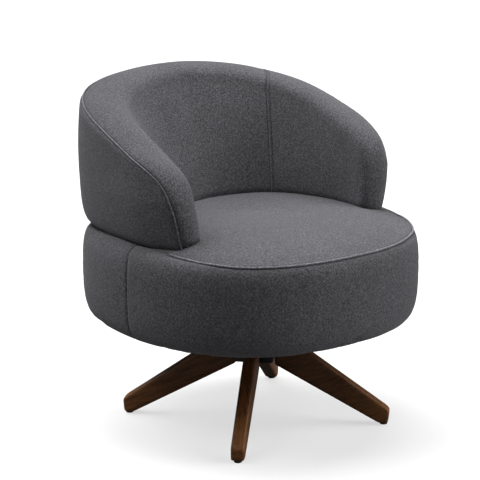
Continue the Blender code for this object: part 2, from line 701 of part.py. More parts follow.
def build_seat_frame(group, cutters, pivot, plate):
    """Board, posts, top ring and webbing, and the lining under the board."""
    board = add_object("seat_board", flat_mesh("seat_board", [frame_outline(FRAME_INSET)],
                       BOARD_THICKNESS), "plywood", group)
    board.location = (0.0, 0.0, BOARD_Z)
    attach(board, pivot)
    drill([board], "spindle_head_hole", (0.0, SWIVEL_Y, BOARD_Z - DRILL_BEFORE),
          (0.0, SWIVEL_Y, BOARD_Z + BOARD_THICKNESS + DRILL_BEFORE),
          SPINDLE_HEAD_RADIUS + HEAD_ROOM, cutters, 20)

    spacing = PLATE_SCREW_SPACING / 2
    for index, (x, y) in enumerate(((1, 1), (-1, 1), (-1, -1), (1, -1))):
        place = SWIVEL + Vector((x * spacing, y * spacing, 0.0))
        under = place + Vector((0.0, 0.0, UPPER_PLATE_Z - DRILL_BEFORE))
        top = place + Vector((0.0, 0.0, BOARD_Z + PLATE_SCREW_REACH + DRILL_PAST))
        drill([plate, board], f"plate_screw_hole_{index + 1}", under, top,
              PLATE_SCREW_RADIUS + GAP, cutters, 12)
        head = UPPER_PLATE_Z - GAP
        screw = turned(f"plate_screw_{index + 1}", [
            (0.0, BOARD_Z + PLATE_SCREW_REACH),
            (PLATE_SCREW_RADIUS, BOARD_Z + PLATE_SCREW_REACH - 3 * CHAMFER),
            (PLATE_SCREW_RADIUS, head),
            (PLATE_SCREW_HEAD_RADIUS, head),
            (PLATE_SCREW_HEAD_RADIUS - CHAMFER, head - PLATE_SCREW_HEAD_LENGTH),
            (0.0, head - PLATE_SCREW_HEAD_LENGTH),
        ], "zinc_steel", group, place, 12)
        attach(screw, pivot)

    ring_z = RING_TOP_Z - RING_THICKNESS
    ring_mesh = flat_mesh("seat_top_ring", [frame_outline(FRAME_INSET),
                          frame_outline(FRAME_INSET + RING_WIDTH)], RING_THICKNESS)
    ring = add_object("seat_top_ring", ring_mesh, "plywood", group)
    ring.location = (0.0, 0.0, ring_z)
    attach(ring, pivot)

    low, high = BOARD_Z + BOARD_THICKNESS + GAP, ring_z - GAP
    for index in range(POST_COUNT):
        angle = (index + 0.5) * 2 * math.pi / POST_COUNT
        x, y = seat_plan(angle, FRAME_INSET + RING_WIDTH / 2)
        name = f"seat_post_{index + 1}"
        post = add_object(name, box_mesh(name, (POST_WIDTH, POST_DEPTH, high - low)), "plywood", group)
        post.location = (x, y, (low + high) / 2)
        post.rotation_euler = (0.0, 0.0, math.atan2(-x, y))
        round_edges(post, POST_EDGE_ROUND, 1)
        attach(post, pivot)

    for index in range(WEBBING_COUNT):
        shift = (index - (WEBBING_COUNT - 1) / 2) * WEBBING_SPACING
        for lengthwise in (True, False):
            level = RING_TOP_Z + GAP + (0 if lengthwise else WEBBING_THICKNESS + GAP)
            reach = webbing_reach(shift, lengthwise)
            span = reach[1] - reach[0]
            if lengthwise:
                size, place = (WEBBING_WIDTH, span, WEBBING_THICKNESS), (shift, sum(reach) / 2)
            else:
                size, place = (span, WEBBING_WIDTH, WEBBING_THICKNESS), (sum(reach) / 2, shift)
            name = f"webbing_{'lengthwise' if lengthwise else 'crosswise'}_{index + 1}"
            strap = add_object(name, box_mesh(name, size), "webbing_cloth", group)
            strap.location = (*place, level + WEBBING_THICKNESS / 2)
            attach(strap, pivot)

    lining_z = SEAT_BOTTOM_Z - GAP - DUST_COVER_THICKNESS
    opening = [(DUST_COVER_OPENING * math.cos(2 * math.pi * step / 32),
                SWIVEL_Y + DUST_COVER_OPENING * math.sin(2 * math.pi * step / 32)) for step in range(32)]
    lining = flat_mesh("dust_cover", [frame_outline(SEAT_UNDER_INSET + DUST_COVER_MARGIN), opening],
                       DUST_COVER_THICKNESS)
    dust_cover = add_object("dust_cover", lining, "lining_cloth", group)
    dust_cover.location = (0.0, 0.0, lining_z)
    attach(dust_cover, pivot)
    return board, ring


def webbing_reach(shift, lengthwise):
    """Where a strap ends: on the middle of the top ring, at its distance from the centre line."""
    inset = FRAME_INSET + RING_WIDTH / 2
    edge = abs(shift) + WEBBING_WIDTH / 2
    power = SEAT_SQUARENESS
    if lengthwise:
        share = (1 - (edge / (SEAT_HALF_WIDTH - inset)) ** power) ** (1 / power)
        return (-(SEAT_FRONT - inset) * share, (SEAT_REAR - inset) * share)
    reach = SEAT_FRONT if shift < 0 else SEAT_REAR
    share = (1 - (edge / (reach - inset)) ** power) ** (1 / power)
    return (-(SEAT_HALF_WIDTH - inset) * share, (SEAT_HALF_WIDTH - inset) * share)


# The back

def rim_line():
    """The rim's crest on one side: length from the rear, height, and the direction into the back.

    Its points are crowded where the rim turns down to the seat.
    """
    share = 1 - (1 - np.linspace(0.0, 1.0, 3000)) ** 3
    slope = 1 - ARM_DROP * share ** ARM_DROP_POWER
    shoulder = np.sqrt(np.maximum(0.0, 1 - share ** ARM_SHOULDER_POWER))
    height = BACK_BOTTOM_Z + (BACK_TOP_Z - BACK_BOTTOM_Z) * slope * shoulder
    along = share * ARM_END_ANGLE * RIM_RADIUS
    run, fall = np.diff(along), np.diff(height)
    angle = np.arctan2(-fall, run)
    angle = np.concatenate([[0.0], angle[1:], [math.pi / 2]])
    turned_by = np.concatenate([[0.0], np.cumsum(np.abs(np.diff(angle)))])
    angle = np.append(angle, math.pi / 2)[: len(along)]
    length = np.concatenate([[0.0], np.cumsum(np.hypot(run, fall))])
    measure = length + TURN_WEIGHT * turned_by[: len(length)]
    wanted = measure[-1] * (1 - (1 - np.linspace(0.0, 1.0, BACK_COLUMNS + 1)) ** END_CROWDING)
    s = np.interp(wanted, measure, along)
    z = np.interp(wanted, measure, height)
    a = np.interp(wanted, measure, angle)
    a[0], a[-1] = 0.0, math.pi / 2
    return s, z, -np.sin(a), -np.cos(a)


RIM_S, RIM_Z, RIM_IN_S, RIM_IN_Z = rim_line()


def edge_height(psi, depth):
    """Height of a line that runs at a depth under the rim's crest, at an angle round the back."""
    s = (RIM_S + RIM_IN_S * depth) / RIM_RADIUS
    z = np.maximum(RIM_Z + RIM_IN_Z * depth, BACK_BOTTOM_Z)
    return float(np.interp(abs(psi), s, z))


def outer_wall(psi, height, inset):
    """A point of the back's outside at an angle from the rear and a height."""
    share = min(abs(psi) / ARM_END_ANGLE, 1.0)
    across, along = math.sin(psi), math.cos(psi)
    if along > 0:
        radius = 1 / ((abs(across) / BACK_HALF_WIDTH) ** BACK_SQUARENESS
                      + (along / BACK_DEPTH) ** BACK_SQUARENESS) ** (1 / BACK_SQUARENESS)
    else:
        radius = BACK_HALF_WIDTH
    wall = max(edge_height(psi, RIM_OUTER_DEPTH) - BACK_BOTTOM_Z, 1e-6)
    up = min(max((height - BACK_BOTTOM_Z) / wall, 0.0), 1.0)
    fade = min(wall / EDGE_FADE, 1.0)
    seam = SEAM_INSET_ARM + (SEAM_INSET_REAR - SEAM_INSET_ARM) * (1 - share) ** 2
    roll = UNDER_ROLL + (UNDER_ROLL_ARM - UNDER_ROLL) * share ** 4
    low = max(1 - (height - BACK_BOTTOM_Z) / UNDER_ROLL_HEIGHT, 0.0)
    lean = SIDE_LEAN * max(1 - (height - BACK_BOTTOM_Z) / LEAN_HEIGHT, 0.0)
    drawn = seam * up ** 2.5 * fade + lean + roll * (1 - math.sqrt(1 - low * low))
    radius -= inset + drawn
    return Vector((radius * across, BACK_CENTRE_Y + radius * along, height))


def inner_foot(psi):
    """Where the inside of the back meets the seat."""
    phi = psi * INNER_END_ANGLE / ARM_END_ANGLE
    return Vector((INNER_RADIUS * math.sin(phi), INNER_CENTRE_Y + INNER_RADIUS * math.cos(phi), 0.0))


def inner_wall(psi, height, inset):
    """A point of the back's inside, which leans back from the seat to the rim."""
    share = min(abs(psi) / ARM_END_ANGLE, 1.0)
    top = edge_height(psi, RIM_INNER_DEPTH)
    wall = max(top - BACK_BOTTOM_Z, 1e-6)
    up = min(max((height - BACK_BOTTOM_Z) / wall, 0.0), 1.0)
    fade = min(wall / EDGE_FADE, 1.0)
    seam_height = edge_height(psi, RIM_OUTER_DEPTH)
    seam = outer_wall(psi, seam_height, 0.0)
    foot = inner_foot(psi)
    inwards = Vector((foot.x - seam.x, foot.y - seam.y, 0.0))
    full = inwards.length
    inwards.normalize()
    width = through_stations(share, *RIM_WIDTHS)
    bulge = INNER_BULGE * 4 * up * (1 - up) * (1 - share ** 3)
    reach = full + (width - full) * up * fade + bulge - inset
    return Vector((seam.x, seam.y, 0.0)) + inwards * reach + Vector((0.0, 0.0, height))


def rim_depth(across):
    if across < RIM_CREST:
        return RIM_OUTER_DEPTH * ((RIM_CREST - across) / RIM_CREST) ** 2.2
    return RIM_INNER_DEPTH * (1 - math.sqrt(1 - ((across - RIM_CREST) / (1 - RIM_CREST)) ** 2))


def back_column(index, side, outer, inner, rim):
    """One column of the back's skin: up the outside, over the rim and down the inside to the seat."""
    s, z, in_s, in_z = RIM_S[index], RIM_Z[index], RIM_IN_S[index], RIM_IN_Z[index]

    def edge(depth):
        psi = (s + in_s * (depth + rim)) / RIM_RADIUS
        return side * psi, max(z + in_z * (depth + rim), BACK_BOTTOM_Z)

    psi_out, z_out = edge(RIM_OUTER_DEPTH)
    psi_in, z_in = edge(RIM_INNER_DEPTH)
    if index == BACK_COLUMNS:
        z_out = z_in = BACK_BOTTOM_Z
    column = [outer_wall(psi_out, BACK_BOTTOM_Z + (z_out - BACK_BOTTOM_Z) * step, outer)
              for step in WALL_STEPS]
    inside = [inner_wall(psi_in, BACK_BOTTOM_Z + (z_in - BACK_BOTTOM_Z) * step, inner)
              for step in (1.0,) + INNER_STEPS]
    first, last = column[-1], inside[0]
    forwards = side * Vector((-(last - first).y, (last - first).x, 0.0)).normalized()
    if forwards.y > 0 and abs(psi_out) > math.pi / 2:
        forwards = -forwards
    for across in RIM_STEPS[:-1]:
        depth = rim_depth(across)
        even = RIM_OUTER_DEPTH + (RIM_INNER_DEPTH - RIM_OUTER_DEPTH) * across
        point = first.lerp(last, across) + forwards * (in_s * (depth - even))
        point.z = max(z + in_z * (depth + rim), BACK_BOTTOM_Z)
        if index == BACK_COLUMNS:
            point.z = BACK_BOTTOM_Z
        column.append(point)
    return column + inside


def back_rows(outer, inner, rim):
    """The back's skin as rows of points, from the right arm end round the rear to the left arm end."""
    columns = [back_column(index, -1, outer, inner, rim) for index in range(BACK_COLUMNS, 0, -1)]
    columns += [back_column(index, 1, outer, inner, rim) for index in range(BACK_COLUMNS + 1)]
    return [list(row) for row in zip(*columns)]


def joined_grid(rows):
    """The index of each grid point once equal points are joined, and the triangles between them."""
    known = {}
    numbers = []
    for row in rows:
        numbers.append([known.setdefault(tuple(round(value, 7) for value in point), len(known))
                        for point in row])
    faces = []
    for low, high in zip(numbers, numbers[1:]):
        for column in range(len(low) - 1):
            a, b, c, d = low[column], low[column + 1], high[column + 1], high[column]
            halves = ((a, b, c), (a, c, d)) if column < BACK_COLUMNS else ((a, b, d), (b, c, d))
            faces += [half for half in halves if len(set(half)) == 3]
    return numbers, faces


def joined_points(rows, numbers):
    """The points of a grid, one for each index."""
    points = {}
    for row, row_numbers in zip(rows, numbers):
        for point, number in zip(row, row_numbers):
            points.setdefault(number, Vector(point))
    return [points[number] for number in range(len(points))]


def moved_in(points, faces, distance):
    """A skin's points moved inwards along their normals; those on the seat stay level."""
    normals = [Vector() for _ in points]
    for face in faces:
        corners = [points[index] for index in face]
        normal = Vector()
        for here, there in zip(corners, corners[1:] + corners[:1]):
            normal += here.cross(there)
        for index in face:
            normals[index] += normal
    result = []
    for point, normal in zip(points, normals):
        if point.z < BACK_BOTTOM_Z + 1e-6:
            normal.z = 0.0
        result.append(point + normal.normalized() * distance)
    return result


def two_skins(name, faces, outside, inside, finish, group):
    """A soft wall between two skins with the same faces, closed along their lower edges."""
    second = len(outside)
    sides = {}
    for face in faces:
        for here, there in zip(face, face[1:] + face[:1]):
            sides[(here, there)] = True
    edges = [side for side in sides if (side[1], side[0]) not in sides]
    everything = faces + [tuple(second + index for index in face) for face in faces]
    everything += [(here, there, second + there, second + here) for here, there in edges]
    return add_object(name, mesh_of(name, outside + inside, everything, 50.0), finish, group)


def build_back_soft(group, cutters, pivot, cover, pad):
    """The back's cover and foam, and the pocket that they stand in on the seat."""
    rows = back_rows(0.0, 0.0, 0.0)
    numbers, faces = joined_grid(rows)
    outside = joined_points(rows, numbers)
    lined = moved_in(outside, faces, COVER_THICKNESS)
    back_cover = two_skins("back_cover", faces, outside, lined, "charcoal_cloth", group)
    attach(back_cover, pivot)
    foam_out = moved_in(outside, faces, COVER_THICKNESS + SOFT_GAP)
    hollow = joined_points(back_rows(BACK_FOAM_OUTER, BACK_FOAM_INNER, BACK_FOAM_RIM), numbers)
    attach(two_skins("back_foam", faces, foam_out, hollow, "foam", group), pivot)

    grown = moved_in(outside, faces, -POCKET_GAP)
    for point in grown:
        if point.z < BACK_BOTTOM_Z + 1e-6:
            point.z = POCKET_Z
    first, last = numbers[0], numbers[-1]
    under = [(first[column], first[column + 1], last[column + 1], last[column])
             for column in range(len(first) - 1)]
    under += [tuple(dict.fromkeys(row[end] for row in numbers)) for end in (0, -1)]
    pocket = make_cutter("back_pocket", mesh_of("back_pocket", grown, faces + under), cutters)
    cut(cover, pocket)
    cut(pad, pocket)


def frame_angles():
    """The angles of the columns that the back's frame is built on."""
    reach = FRAME_SHARE * ARM_END_ANGLE
    return [reach * (2 * step / FRAME_STEPS - 1) for step in range(FRAME_STEPS + 1)]


def frame_top(psi, depth):
    """How high the frame may reach at an angle, under the foam of the rim."""
    return edge_height(psi, depth) - BACK_FOAM_RIM - FRAME_GAP


def wall_ring(psi, bottom, top, near, far):
    """A ring of points up one wall and down another at one angle."""
    heights = [bottom + (top - bottom) * level for level in PANEL_LEVELS]
    ring = [near[0](psi, height, near[1]) for height in heights]
    return ring + [far[0](psi, height, far[1]) for height in reversed(heights)]


def build_back_frame(group, cutters, pivot, ring, pad):
    """Base rail, ribs, two bent panels and a top rail, bolted through the seat's top ring."""
    out_gap = BACK_FOAM_OUTER + FRAME_GAP
    in_gap = BACK_FOAM_INNER + FRAME_GAP
    rail_z = BACK_BOTTOM_Z
    rail_top = rail_z + BASE_RAIL_THICKNESS
    sections = []
    for psi in frame_angles():
        near = outer_wall(psi, rail_z, out_gap)
        far = inner_wall(psi, rail_top, in_gap)
        sections.append([(near.x, near.y, rail_z), (near.x, near.y, rail_top),
                         (far.x, far.y, rail_top), (far.x, far.y, rail_z)])
    rail = loft("back_base_rail", sections, "plywood", group)
    attach(rail, pivot)

    low = rail_top + GAP
    near_face, far_face = out_gap + PANEL_THICKNESS + RIB_GAP, in_gap + PANEL_THICKNESS + RIB_GAP
    outer_sections = []
    inner_sections = []
    top_sections = []
    for psi in frame_angles():
        outer_sections.append(wall_ring(psi, low, frame_top(psi, RIM_OUTER_DEPTH),
                              (outer_wall, out_gap), (outer_wall, out_gap + PANEL_THICKNESS)))
        inner_sections.append(wall_ring(psi, low, frame_top(psi, RIM_INNER_DEPTH),
                              (inner_wall, in_gap), (inner_wall, in_gap + PANEL_THICKNESS)))
        top = frame_top(psi, RIM_INNER_DEPTH)
        bottom = top - TOP_RAIL_THICKNESS
        top_sections.append([outer_wall(psi, top, near_face), inner_wall(psi, top, far_face),
                             inner_wall(psi, bottom, far_face), outer_wall(psi, bottom, near_face)])
    for name, sections in (("back_outer_panel", outer_sections), ("back_inner_panel", inner_sections),
                           ("back_top_rail", top_sections)):
        attach(loft(name, sections, "plywood", group), pivot)

    for index, share in enumerate(RIB_SHARES):
        sections = []
        for side in (-1, 1):
            psi = share * ARM_END_ANGLE + side * RIB_THICKNESS / 2 / RIM_RADIUS
            top = frame_top(psi, RIM_INNER_DEPTH) - TOP_RAIL_THICKNESS - RAIL_GAP
            sections.append(wall_ring(psi, low, top, (outer_wall, near_face), (inner_wall, far_face)))
        attach(loft(f"back_rib_{index + 1}", sections, "plywood", group), pivot)

    for name, angle in BACK_BOLT_ANGLES.items():
        x, y = seat_plan(math.pi - angle, FRAME_INSET + RING_WIDTH / 2)
        under = RING_TOP_Z - RING_THICKNESS - GAP
        tip = rail_z + BACK_BOLT_REACH
        drill([ring, pad, rail], "back_bolt_hole_" + name, (x, y, under - DRILL_BEFORE),
              (x, y, tip + DRILL_PAST),
              BACK_BOLT_RADIUS + GAP, cutters, 12)
        bolt = turned("back_bolt_" + name, [
            (0.0, tip),
            (BACK_BOLT_RADIUS, tip - CHAMFER),
            (BACK_BOLT_RADIUS, under),
            (BACK_BOLT_HEAD_RADIUS, under),
            (BACK_BOLT_HEAD_RADIUS, under - BACK_BOLT_HEAD_LENGTH + CHAMFER),
            (BACK_BOLT_HEAD_RADIUS - CHAMFER, under - BACK_BOLT_HEAD_LENGTH),
            (0.0, under - BACK_BOLT_HEAD_LENGTH),
        ], "zinc_steel", group, (x, y, 0.0), 12)
        attach(bolt, pivot)


def build_chair():
    clear_scene()
    chair = new_collection("swivel_armchair")
    cutters = new_collection("cutters")
    seat_pivot = add_empty("seat_swivel_axis", SWIVEL, chair)
    cage_pivot = add_empty("cage_axis", SWIVEL, chair)
    legs = build_legs(chair, cutters)
    hub = build_hub(chair, cutters, legs)
    plate = build_swivel(chair, cutters, hub, seat_pivot, cage_pivot)
    board, ring = build_seat_frame(chair, cutters, seat_pivot, plate)
    cover, pad = build_seat_soft(chair, cutters, seat_pivot)
    build_back_soft(chair, cutters, seat_pivot, cover, pad)
    build_back_frame(chair, cutters, seat_pivot, ring, pad)
    bpy.context.view_layer.update()


build_chair()
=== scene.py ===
"""The looks of a swivel armchair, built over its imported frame.

Units are metres, +Z is up and the sitter faces -Y. The sizes at the top repeat those of the CAD source.
"""

import math

import bmesh
import bpy
import numpy as np
from bpy.props import FloatProperty, FloatVectorProperty, PointerProperty
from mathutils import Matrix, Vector, kdtree, noise


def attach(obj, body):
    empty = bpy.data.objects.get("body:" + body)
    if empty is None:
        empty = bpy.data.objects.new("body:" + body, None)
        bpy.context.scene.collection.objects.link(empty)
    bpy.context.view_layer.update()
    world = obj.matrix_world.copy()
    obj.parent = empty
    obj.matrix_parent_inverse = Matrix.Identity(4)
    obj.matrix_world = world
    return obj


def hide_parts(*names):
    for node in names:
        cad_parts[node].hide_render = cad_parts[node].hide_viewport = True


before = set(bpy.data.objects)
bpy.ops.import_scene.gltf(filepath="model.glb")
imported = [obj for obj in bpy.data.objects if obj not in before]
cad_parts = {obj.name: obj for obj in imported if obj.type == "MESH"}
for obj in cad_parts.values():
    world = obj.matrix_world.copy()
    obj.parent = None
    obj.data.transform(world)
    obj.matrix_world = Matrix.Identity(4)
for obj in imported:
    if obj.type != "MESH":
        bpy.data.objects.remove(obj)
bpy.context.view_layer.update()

bl_info = {
    "name": "Swivel armchair",
    "version": (1, 0, 0),
    "blender": (4, 5, 0),
    "location": "3D View > Sidebar > Armchair",
    "description": "Builds the upholstery, seams, legs, finishes and studio of a swivel armchair",
    "category": "Object",
}

# Base, the skin that rounds its legs off, and where their wood turns from darker at the hub to a painted
# highlight at the toe
SWIVEL_Y = -0.030
LEG_TURN = math.radians(45.0)
LEG_NAMES = ("rear_left", "rear_right", "front_right", "front_left")
LEG_SLOPE = math.radians(30.0)
LEG_SKIN_PITCH = 0.0019
LEG_SANDING = 26
TOE_HIGHLIGHT_REACH = (0.20, 0.30)

# Seat cushion
SEAT_HALF_WIDTH = 0.360
SEAT_FRONT = 0.376
SEAT_REAR = 0.350
SEAT_SQUARENESS = 2.3
SEAT_WIDEST_Z = 0.366
SEAT_SEAM_Z = 0.4560
SEAT_SEAM_INSET = 0.028
SEAT_UNDER_INSET = 0.054
SEAT_UNDER_ROUND = 3.4
SEAT_SHOULDER_ROUND = 2.8
SEAT_CROWN = 0.026
SEAT_CROWN_ROUND = 4.2
SEAT_BOTTOM_Z = 0.2465
COVER_THICKNESS = 0.0015
COVER_TURN_IN = 0.035
FRAME_INSET = 0.062
RING_WIDTH = 0.062
RING_TOP_Z = 0.430
PAD_BOTTOM_Z = 0.4338
WEBBING_WIDTH = 0.050
WEBBING_THICKNESS = 0.0015
WEBBING_SPACING = 0.150
DUST_COVER_THICKNESS = 0.0008
DUST_COVER_MARGIN = 0.008
DUST_COVER_OPENING = 0.128
GAP = 0.0003

# How the webbing dips and the lining sags, and the staples that hold the lining
WEBBING_DIP = 0.006
WEBBING_DIP_REACH = 0.22
LINING_SAG = 0.0022
LINING_SCALLOP = 0.0006
LINING_SCALLOPS = 40
STAPLE_WIDTH = 0.010
STAPLE_WIRE = 0.0009
STAPLE_SLANT = 0.25
STAPLE_INSET = 0.006
STAPLE_DROP = 0.0006

# Back
BACK_BOTTOM_Z = 0.452
BACK_TOP_Z = 0.766
BACK_CENTRE_Y = 0.018
BACK_HALF_WIDTH = 0.337
BACK_DEPTH = 0.3689
BACK_SQUARENESS = 2.6
ARM_END_ANGLE = math.radians(120.0)
ARM_DROP = 0.49
ARM_DROP_POWER = 1.75
ARM_SHOULDER_POWER = 30.0
RIM_RADIUS = 0.340
RIM_WIDTHS = (0.095, 0.115, 0.066)
RIM_OUTER_DEPTH = 0.012
RIM_INNER_DEPTH = 0.030
RIM_CREST = 0.45
SEAM_INSET_REAR = 0.036
SEAM_INSET_ARM = 0.006
SIDE_LEAN = 0.013
LEAN_HEIGHT = 0.250
EDGE_FADE = 0.100
UNDER_ROLL = 0.020
UNDER_ROLL_ARM = 0.012
UNDER_ROLL_HEIGHT = 0.050
INNER_CENTRE_Y = -0.100
INNER_RADIUS = 0.214
INNER_END_ANGLE = math.radians(99.5)
INNER_BULGE = 0.010
BACK_COLUMNS = 22
TURN_WEIGHT = 0.13
END_CROWDING = 1.15
BACK_FOAM_OUTER = 0.020
BACK_FOAM_INNER = 0.045
BACK_FOAM_RIM = 0.040
BACK_BOLT_ANGLES = (0.0, math.radians(-84.0), math.radians(84.0))
BOLT_WAY_RADIUS = 0.0046
BOLT_WAY_LENGTH = 0.03
BOLT_WAY_Z = 0.440
POCKET_GAP = 0.0008

# How finely the soft pieces are meshed, as lengths of cloth and distances between points, how far their forms
# and normals are evened, and how far apart the back's two panels lie in its flat map
SEAT_COLUMN_COUNT = 210
SIDE_LENGTH, SIDE_PITCH = 0.31, 0.0062
CROWN_LENGTH, CROWN_PITCH = 0.35, 0.0095
WALL_LENGTH, WALL_PITCH = 0.30, 0.0085
OVER_LENGTH, OVER_PITCH = 0.46, 0.0080
BACK_COLUMN_LENGTH = 0.0065
SEAM_STEPS = (0.0, 0.0012, 0.0024, 0.0036, 0.0052, 0.0075, 0.0110)
SEAM_ROOM = 0.002
NORMAL_WIDTH = 0.005
RIM_SOFTENING = 0.006
SKIN_SOFTENING = 0.004
CROWN_MIDDLE = 0.03
WALL_ROOM, OVER_ROOM = 0.05, 0.10
HOLLOW_STEPS = (8, 6)
PANEL_MAP_GAP = 3.0

# How the stuffing is settled, and how the cloth lies over it
CLOTH_PITCH = 0.0105
CLOTH_FRAMES = 20
CLOTH_SETTINGS = {
    "mass": 0.02, "tension_stiffness": 12.0, "compression_stiffness": 12.0, "shear_stiffness": 4.0,
    "bending_stiffness": 0.4, "use_pressure": True, "uniform_pressure_force": 4.0,
}
CLOTH_CAP = 0.008
CLOTH_DRAW = 0.0012
SEAT_WAVES = (8.5, 21.0, 75.0)
BACK_WAVES = (7.5, 19.0, 75.0)
CLOSE_WAVES_SHARE = 0.4
PUCKER_HEIGHT = 0.00035
PUCKER_WIDTH = 0.012
SEAM_HOLD = 0.020
HEM_HOLD = 0.09
FOOT_HOLD = 0.030

# Welts: how high they stand in seam depths, their radius and unevenness in welt radii, and their waves
SEAT_WELT_LIFT = 1.5
BACK_WELT_LIFT = 0.9
SEAT_WELT_SHARE = 1.15
BACK_WELT_SHARE = 0.85
WELT_UNEVENNESS = 0.35
WELT_PITCH = 0.0035
WELT_WAVES = 240.0

# The dip along a seam, and the darker lines in the folds beside it: partly pressed nap, partly painted shade
SEAM_DIP_WIDTH = 0.0045
SEAM_SHADE = 0.5
SEAM_SHADE_WIDTH = 0.0014
SEAT_SHADE_OFFSET = 0.0030
CROWN_SHADE = 0.25
BACK_SHADE_OFFSET = 0.0026
SIDE_SHADE_WIDTH = 0.0016

# The flat seam inside the back, with its ridge and grooves in seam depths and the thread's columns beside it
FELLED_HALF_WIDTH = 0.0036
FELLED_RIDGE = 0.70
FELLED_RIDGE_WIDTH = 0.0022
FELLED_GROOVE = 1.10
FELLED_HOLLOW = 0.0012
FELLED_HOLLOW_WIDTH = 0.030
FELLED_START = 0.010
THREAD_RADIUS = 0.00032
THREAD_SHARE = 0.40
THREAD_LIFT = 0.0002
THREAD_COLUMNS = 3

# Where the seat's seams run: the top seam by angle from the front and the side seams by height, in degrees
SIDE_SEAM_WIDTH = 0.0026
SIDE_SEAM_START, SIDE_SEAM_RISE = 0.05, 0.03
SEAM_DROP_ANGLES = (0, 25, 42, 51, 60, 68, 75, 82, 180)
SEAM_DROPS = (0.0110, 0.0135, 0.0135, 0.0085, -0.0010, -0.0085, -0.0180, -0.0270, -0.0300)
SEAM_HIDDEN_ANGLE = math.radians(71.0)
LEFT_DROP_ANGLES = (38, 50, 66, 74)
LEFT_DROPS = (0.0, 0.0100, 0.0120, 0.0)
SIDE_SEAM_HEIGHTS = (0.27, 0.34, 0.41, 0.435, 0.452, 0.470)
SIDE_SEAM_SHIFTS = (2.4, 2.3, 2.4, 2.6, 3.2, 4.0)
SIDE_SEAM_REACH = math.radians(12.0)

# The back stands pressed into the seat along its outer foot
FOOT_PRESS = 0.009
FOOT_PRESS_WIDTH = 0.009
FOOT_PRESS_FADE = 3.0
FOOT_INSIDE, FOOT_INSIDE_FADE = 0.045, 0.015
# Painted shadow in the crease where the back meets the seat: its width, and how far above the seat's crown it
# reaches
CREASE_SHADE_WIDTH = 0.0085
CREASE_ROOM = 0.03
CROWN_ROLL = 0.0030
CROWN_SINK = 0.0018
CROWN_ROLL_WIDTH = 0.018
ARM_SEAM_PULL = 0.0038
ARM_SEAM_PULL_WIDTH = 0.018
RIM_SEAM_PULL_WIDTH = 0.006
ARM_SEAM_PULL_START, ARM_SEAM_PULL_TURN = 92.0, 14.0

# How the back's cloth stands away from the frame's form, and how its rim's seam wanders: by height in metres
# and by angle from the rear in degrees
CREST_ANGLES = (0, 20, 40, 60, 75, 90, 105, 120)
CREST_LIFTS = (0.0064, 0.0055, 0.0034, 0.0008, -0.0030, -0.0014, 0.0028, 0.0045)
CREST_START = 0.55
CREST_WALL = 0.06
ARM_OUT_HEIGHTS = (0.455, 0.470, 0.500, 0.530, 0.565, 0.600, 0.640)
ARM_OUT = (-0.0040, -0.0020, 0.0030, 0.0092, 0.0138, 0.0107, 0.0080)
ARM_OUT_ANGLES = (0, 60, 90, 112)
ARM_OUT_SHARES = (0.0, 0.1, 0.5, 1.0)
SHELL_OUT_HEIGHTS = (0.490, 0.525, 0.560, 0.620, 0.660)
SHELL_OUT = (0.0, 0.0010, 0.0016, 0.0040, 0.0046)
SHELL_OUT_ANGLES = (0, 60, 85)
SHELL_OUT_SHARES = (0.8, 1.0, 0.0)
OUT_FADE = 0.060
ARM_NARROW_ANGLES = (80, 95, 105, 112)
ARM_NARROW = (0.0, 0.0030, 0.0065, 0.0085)
ARM_NARROW_REACH = 0.050
ARM_NARROW_OUT, ARM_NARROW_BACK = 0.5, 0.85
RIM_SEAM_ANGLES = (30, 50, 62, 73, 81, 89, 96, 102, 107, 112, 115, 118)
RIM_SEAM_SHIFTS = (0.0, 0.0075, 0.0110, 0.0120, 0.0090, 0.0060, 0.0028, 0.0, -0.0032, -0.0050, -0.0020, 0.0)

# The inside of the back is sewn at this angle from the rear, the seat's side at these angles
INSIDE_SEAM_ANGLE = math.radians(45.0)
SIDE_SEAM_ANGLES = (math.radians(-83.5), math.radians(83.5))

# The photograph's camera
CAMERA_PLACE = (-3.043, -3.996, 1.761)
CAMERA_PITCH = -15.016
CAMERA_HEADING = -37.086
CAMERA_LENS = 173.3

# The studio: how much of its own white the floor shows, and the soft lights by their height, their turn from
# the camera and their strength
FLOOR_GLOW = 0.60
SKY_STRENGTH = 0.03
LIGHTS = (
    ("top_light", 75.0, 180.0, 2.3),
    ("rear_left_light", 55.0, 225.0, 1.15),
    ("left_light", 55.0, 270.0, 1.70),
    ("right_light", 35.0, 90.0, 1.50),
    ("low_right_light", 10.0, 90.0, 1.60),
    ("low_front_light", 10.0, 330.0, 0.50),
)
LIGHT_ANGLE = math.radians(40.0)
LIGHT_DISTANCE = 4.0


# Settings

def length_setting(name, description, default, low, high):
    return FloatProperty(name=name, description=description, default=default, min=low, max=high,
                         subtype="DISTANCE", unit="LENGTH")


def colour_setting(name, description, default):
    return FloatVectorProperty(name=name, description=description, default=default, size=3,
                               min=0.0, max=1.0, subtype="COLOR")


def share_setting(name, description, default, high):
    return FloatProperty(name=name, description=description, default=default, min=0.0, max=high)


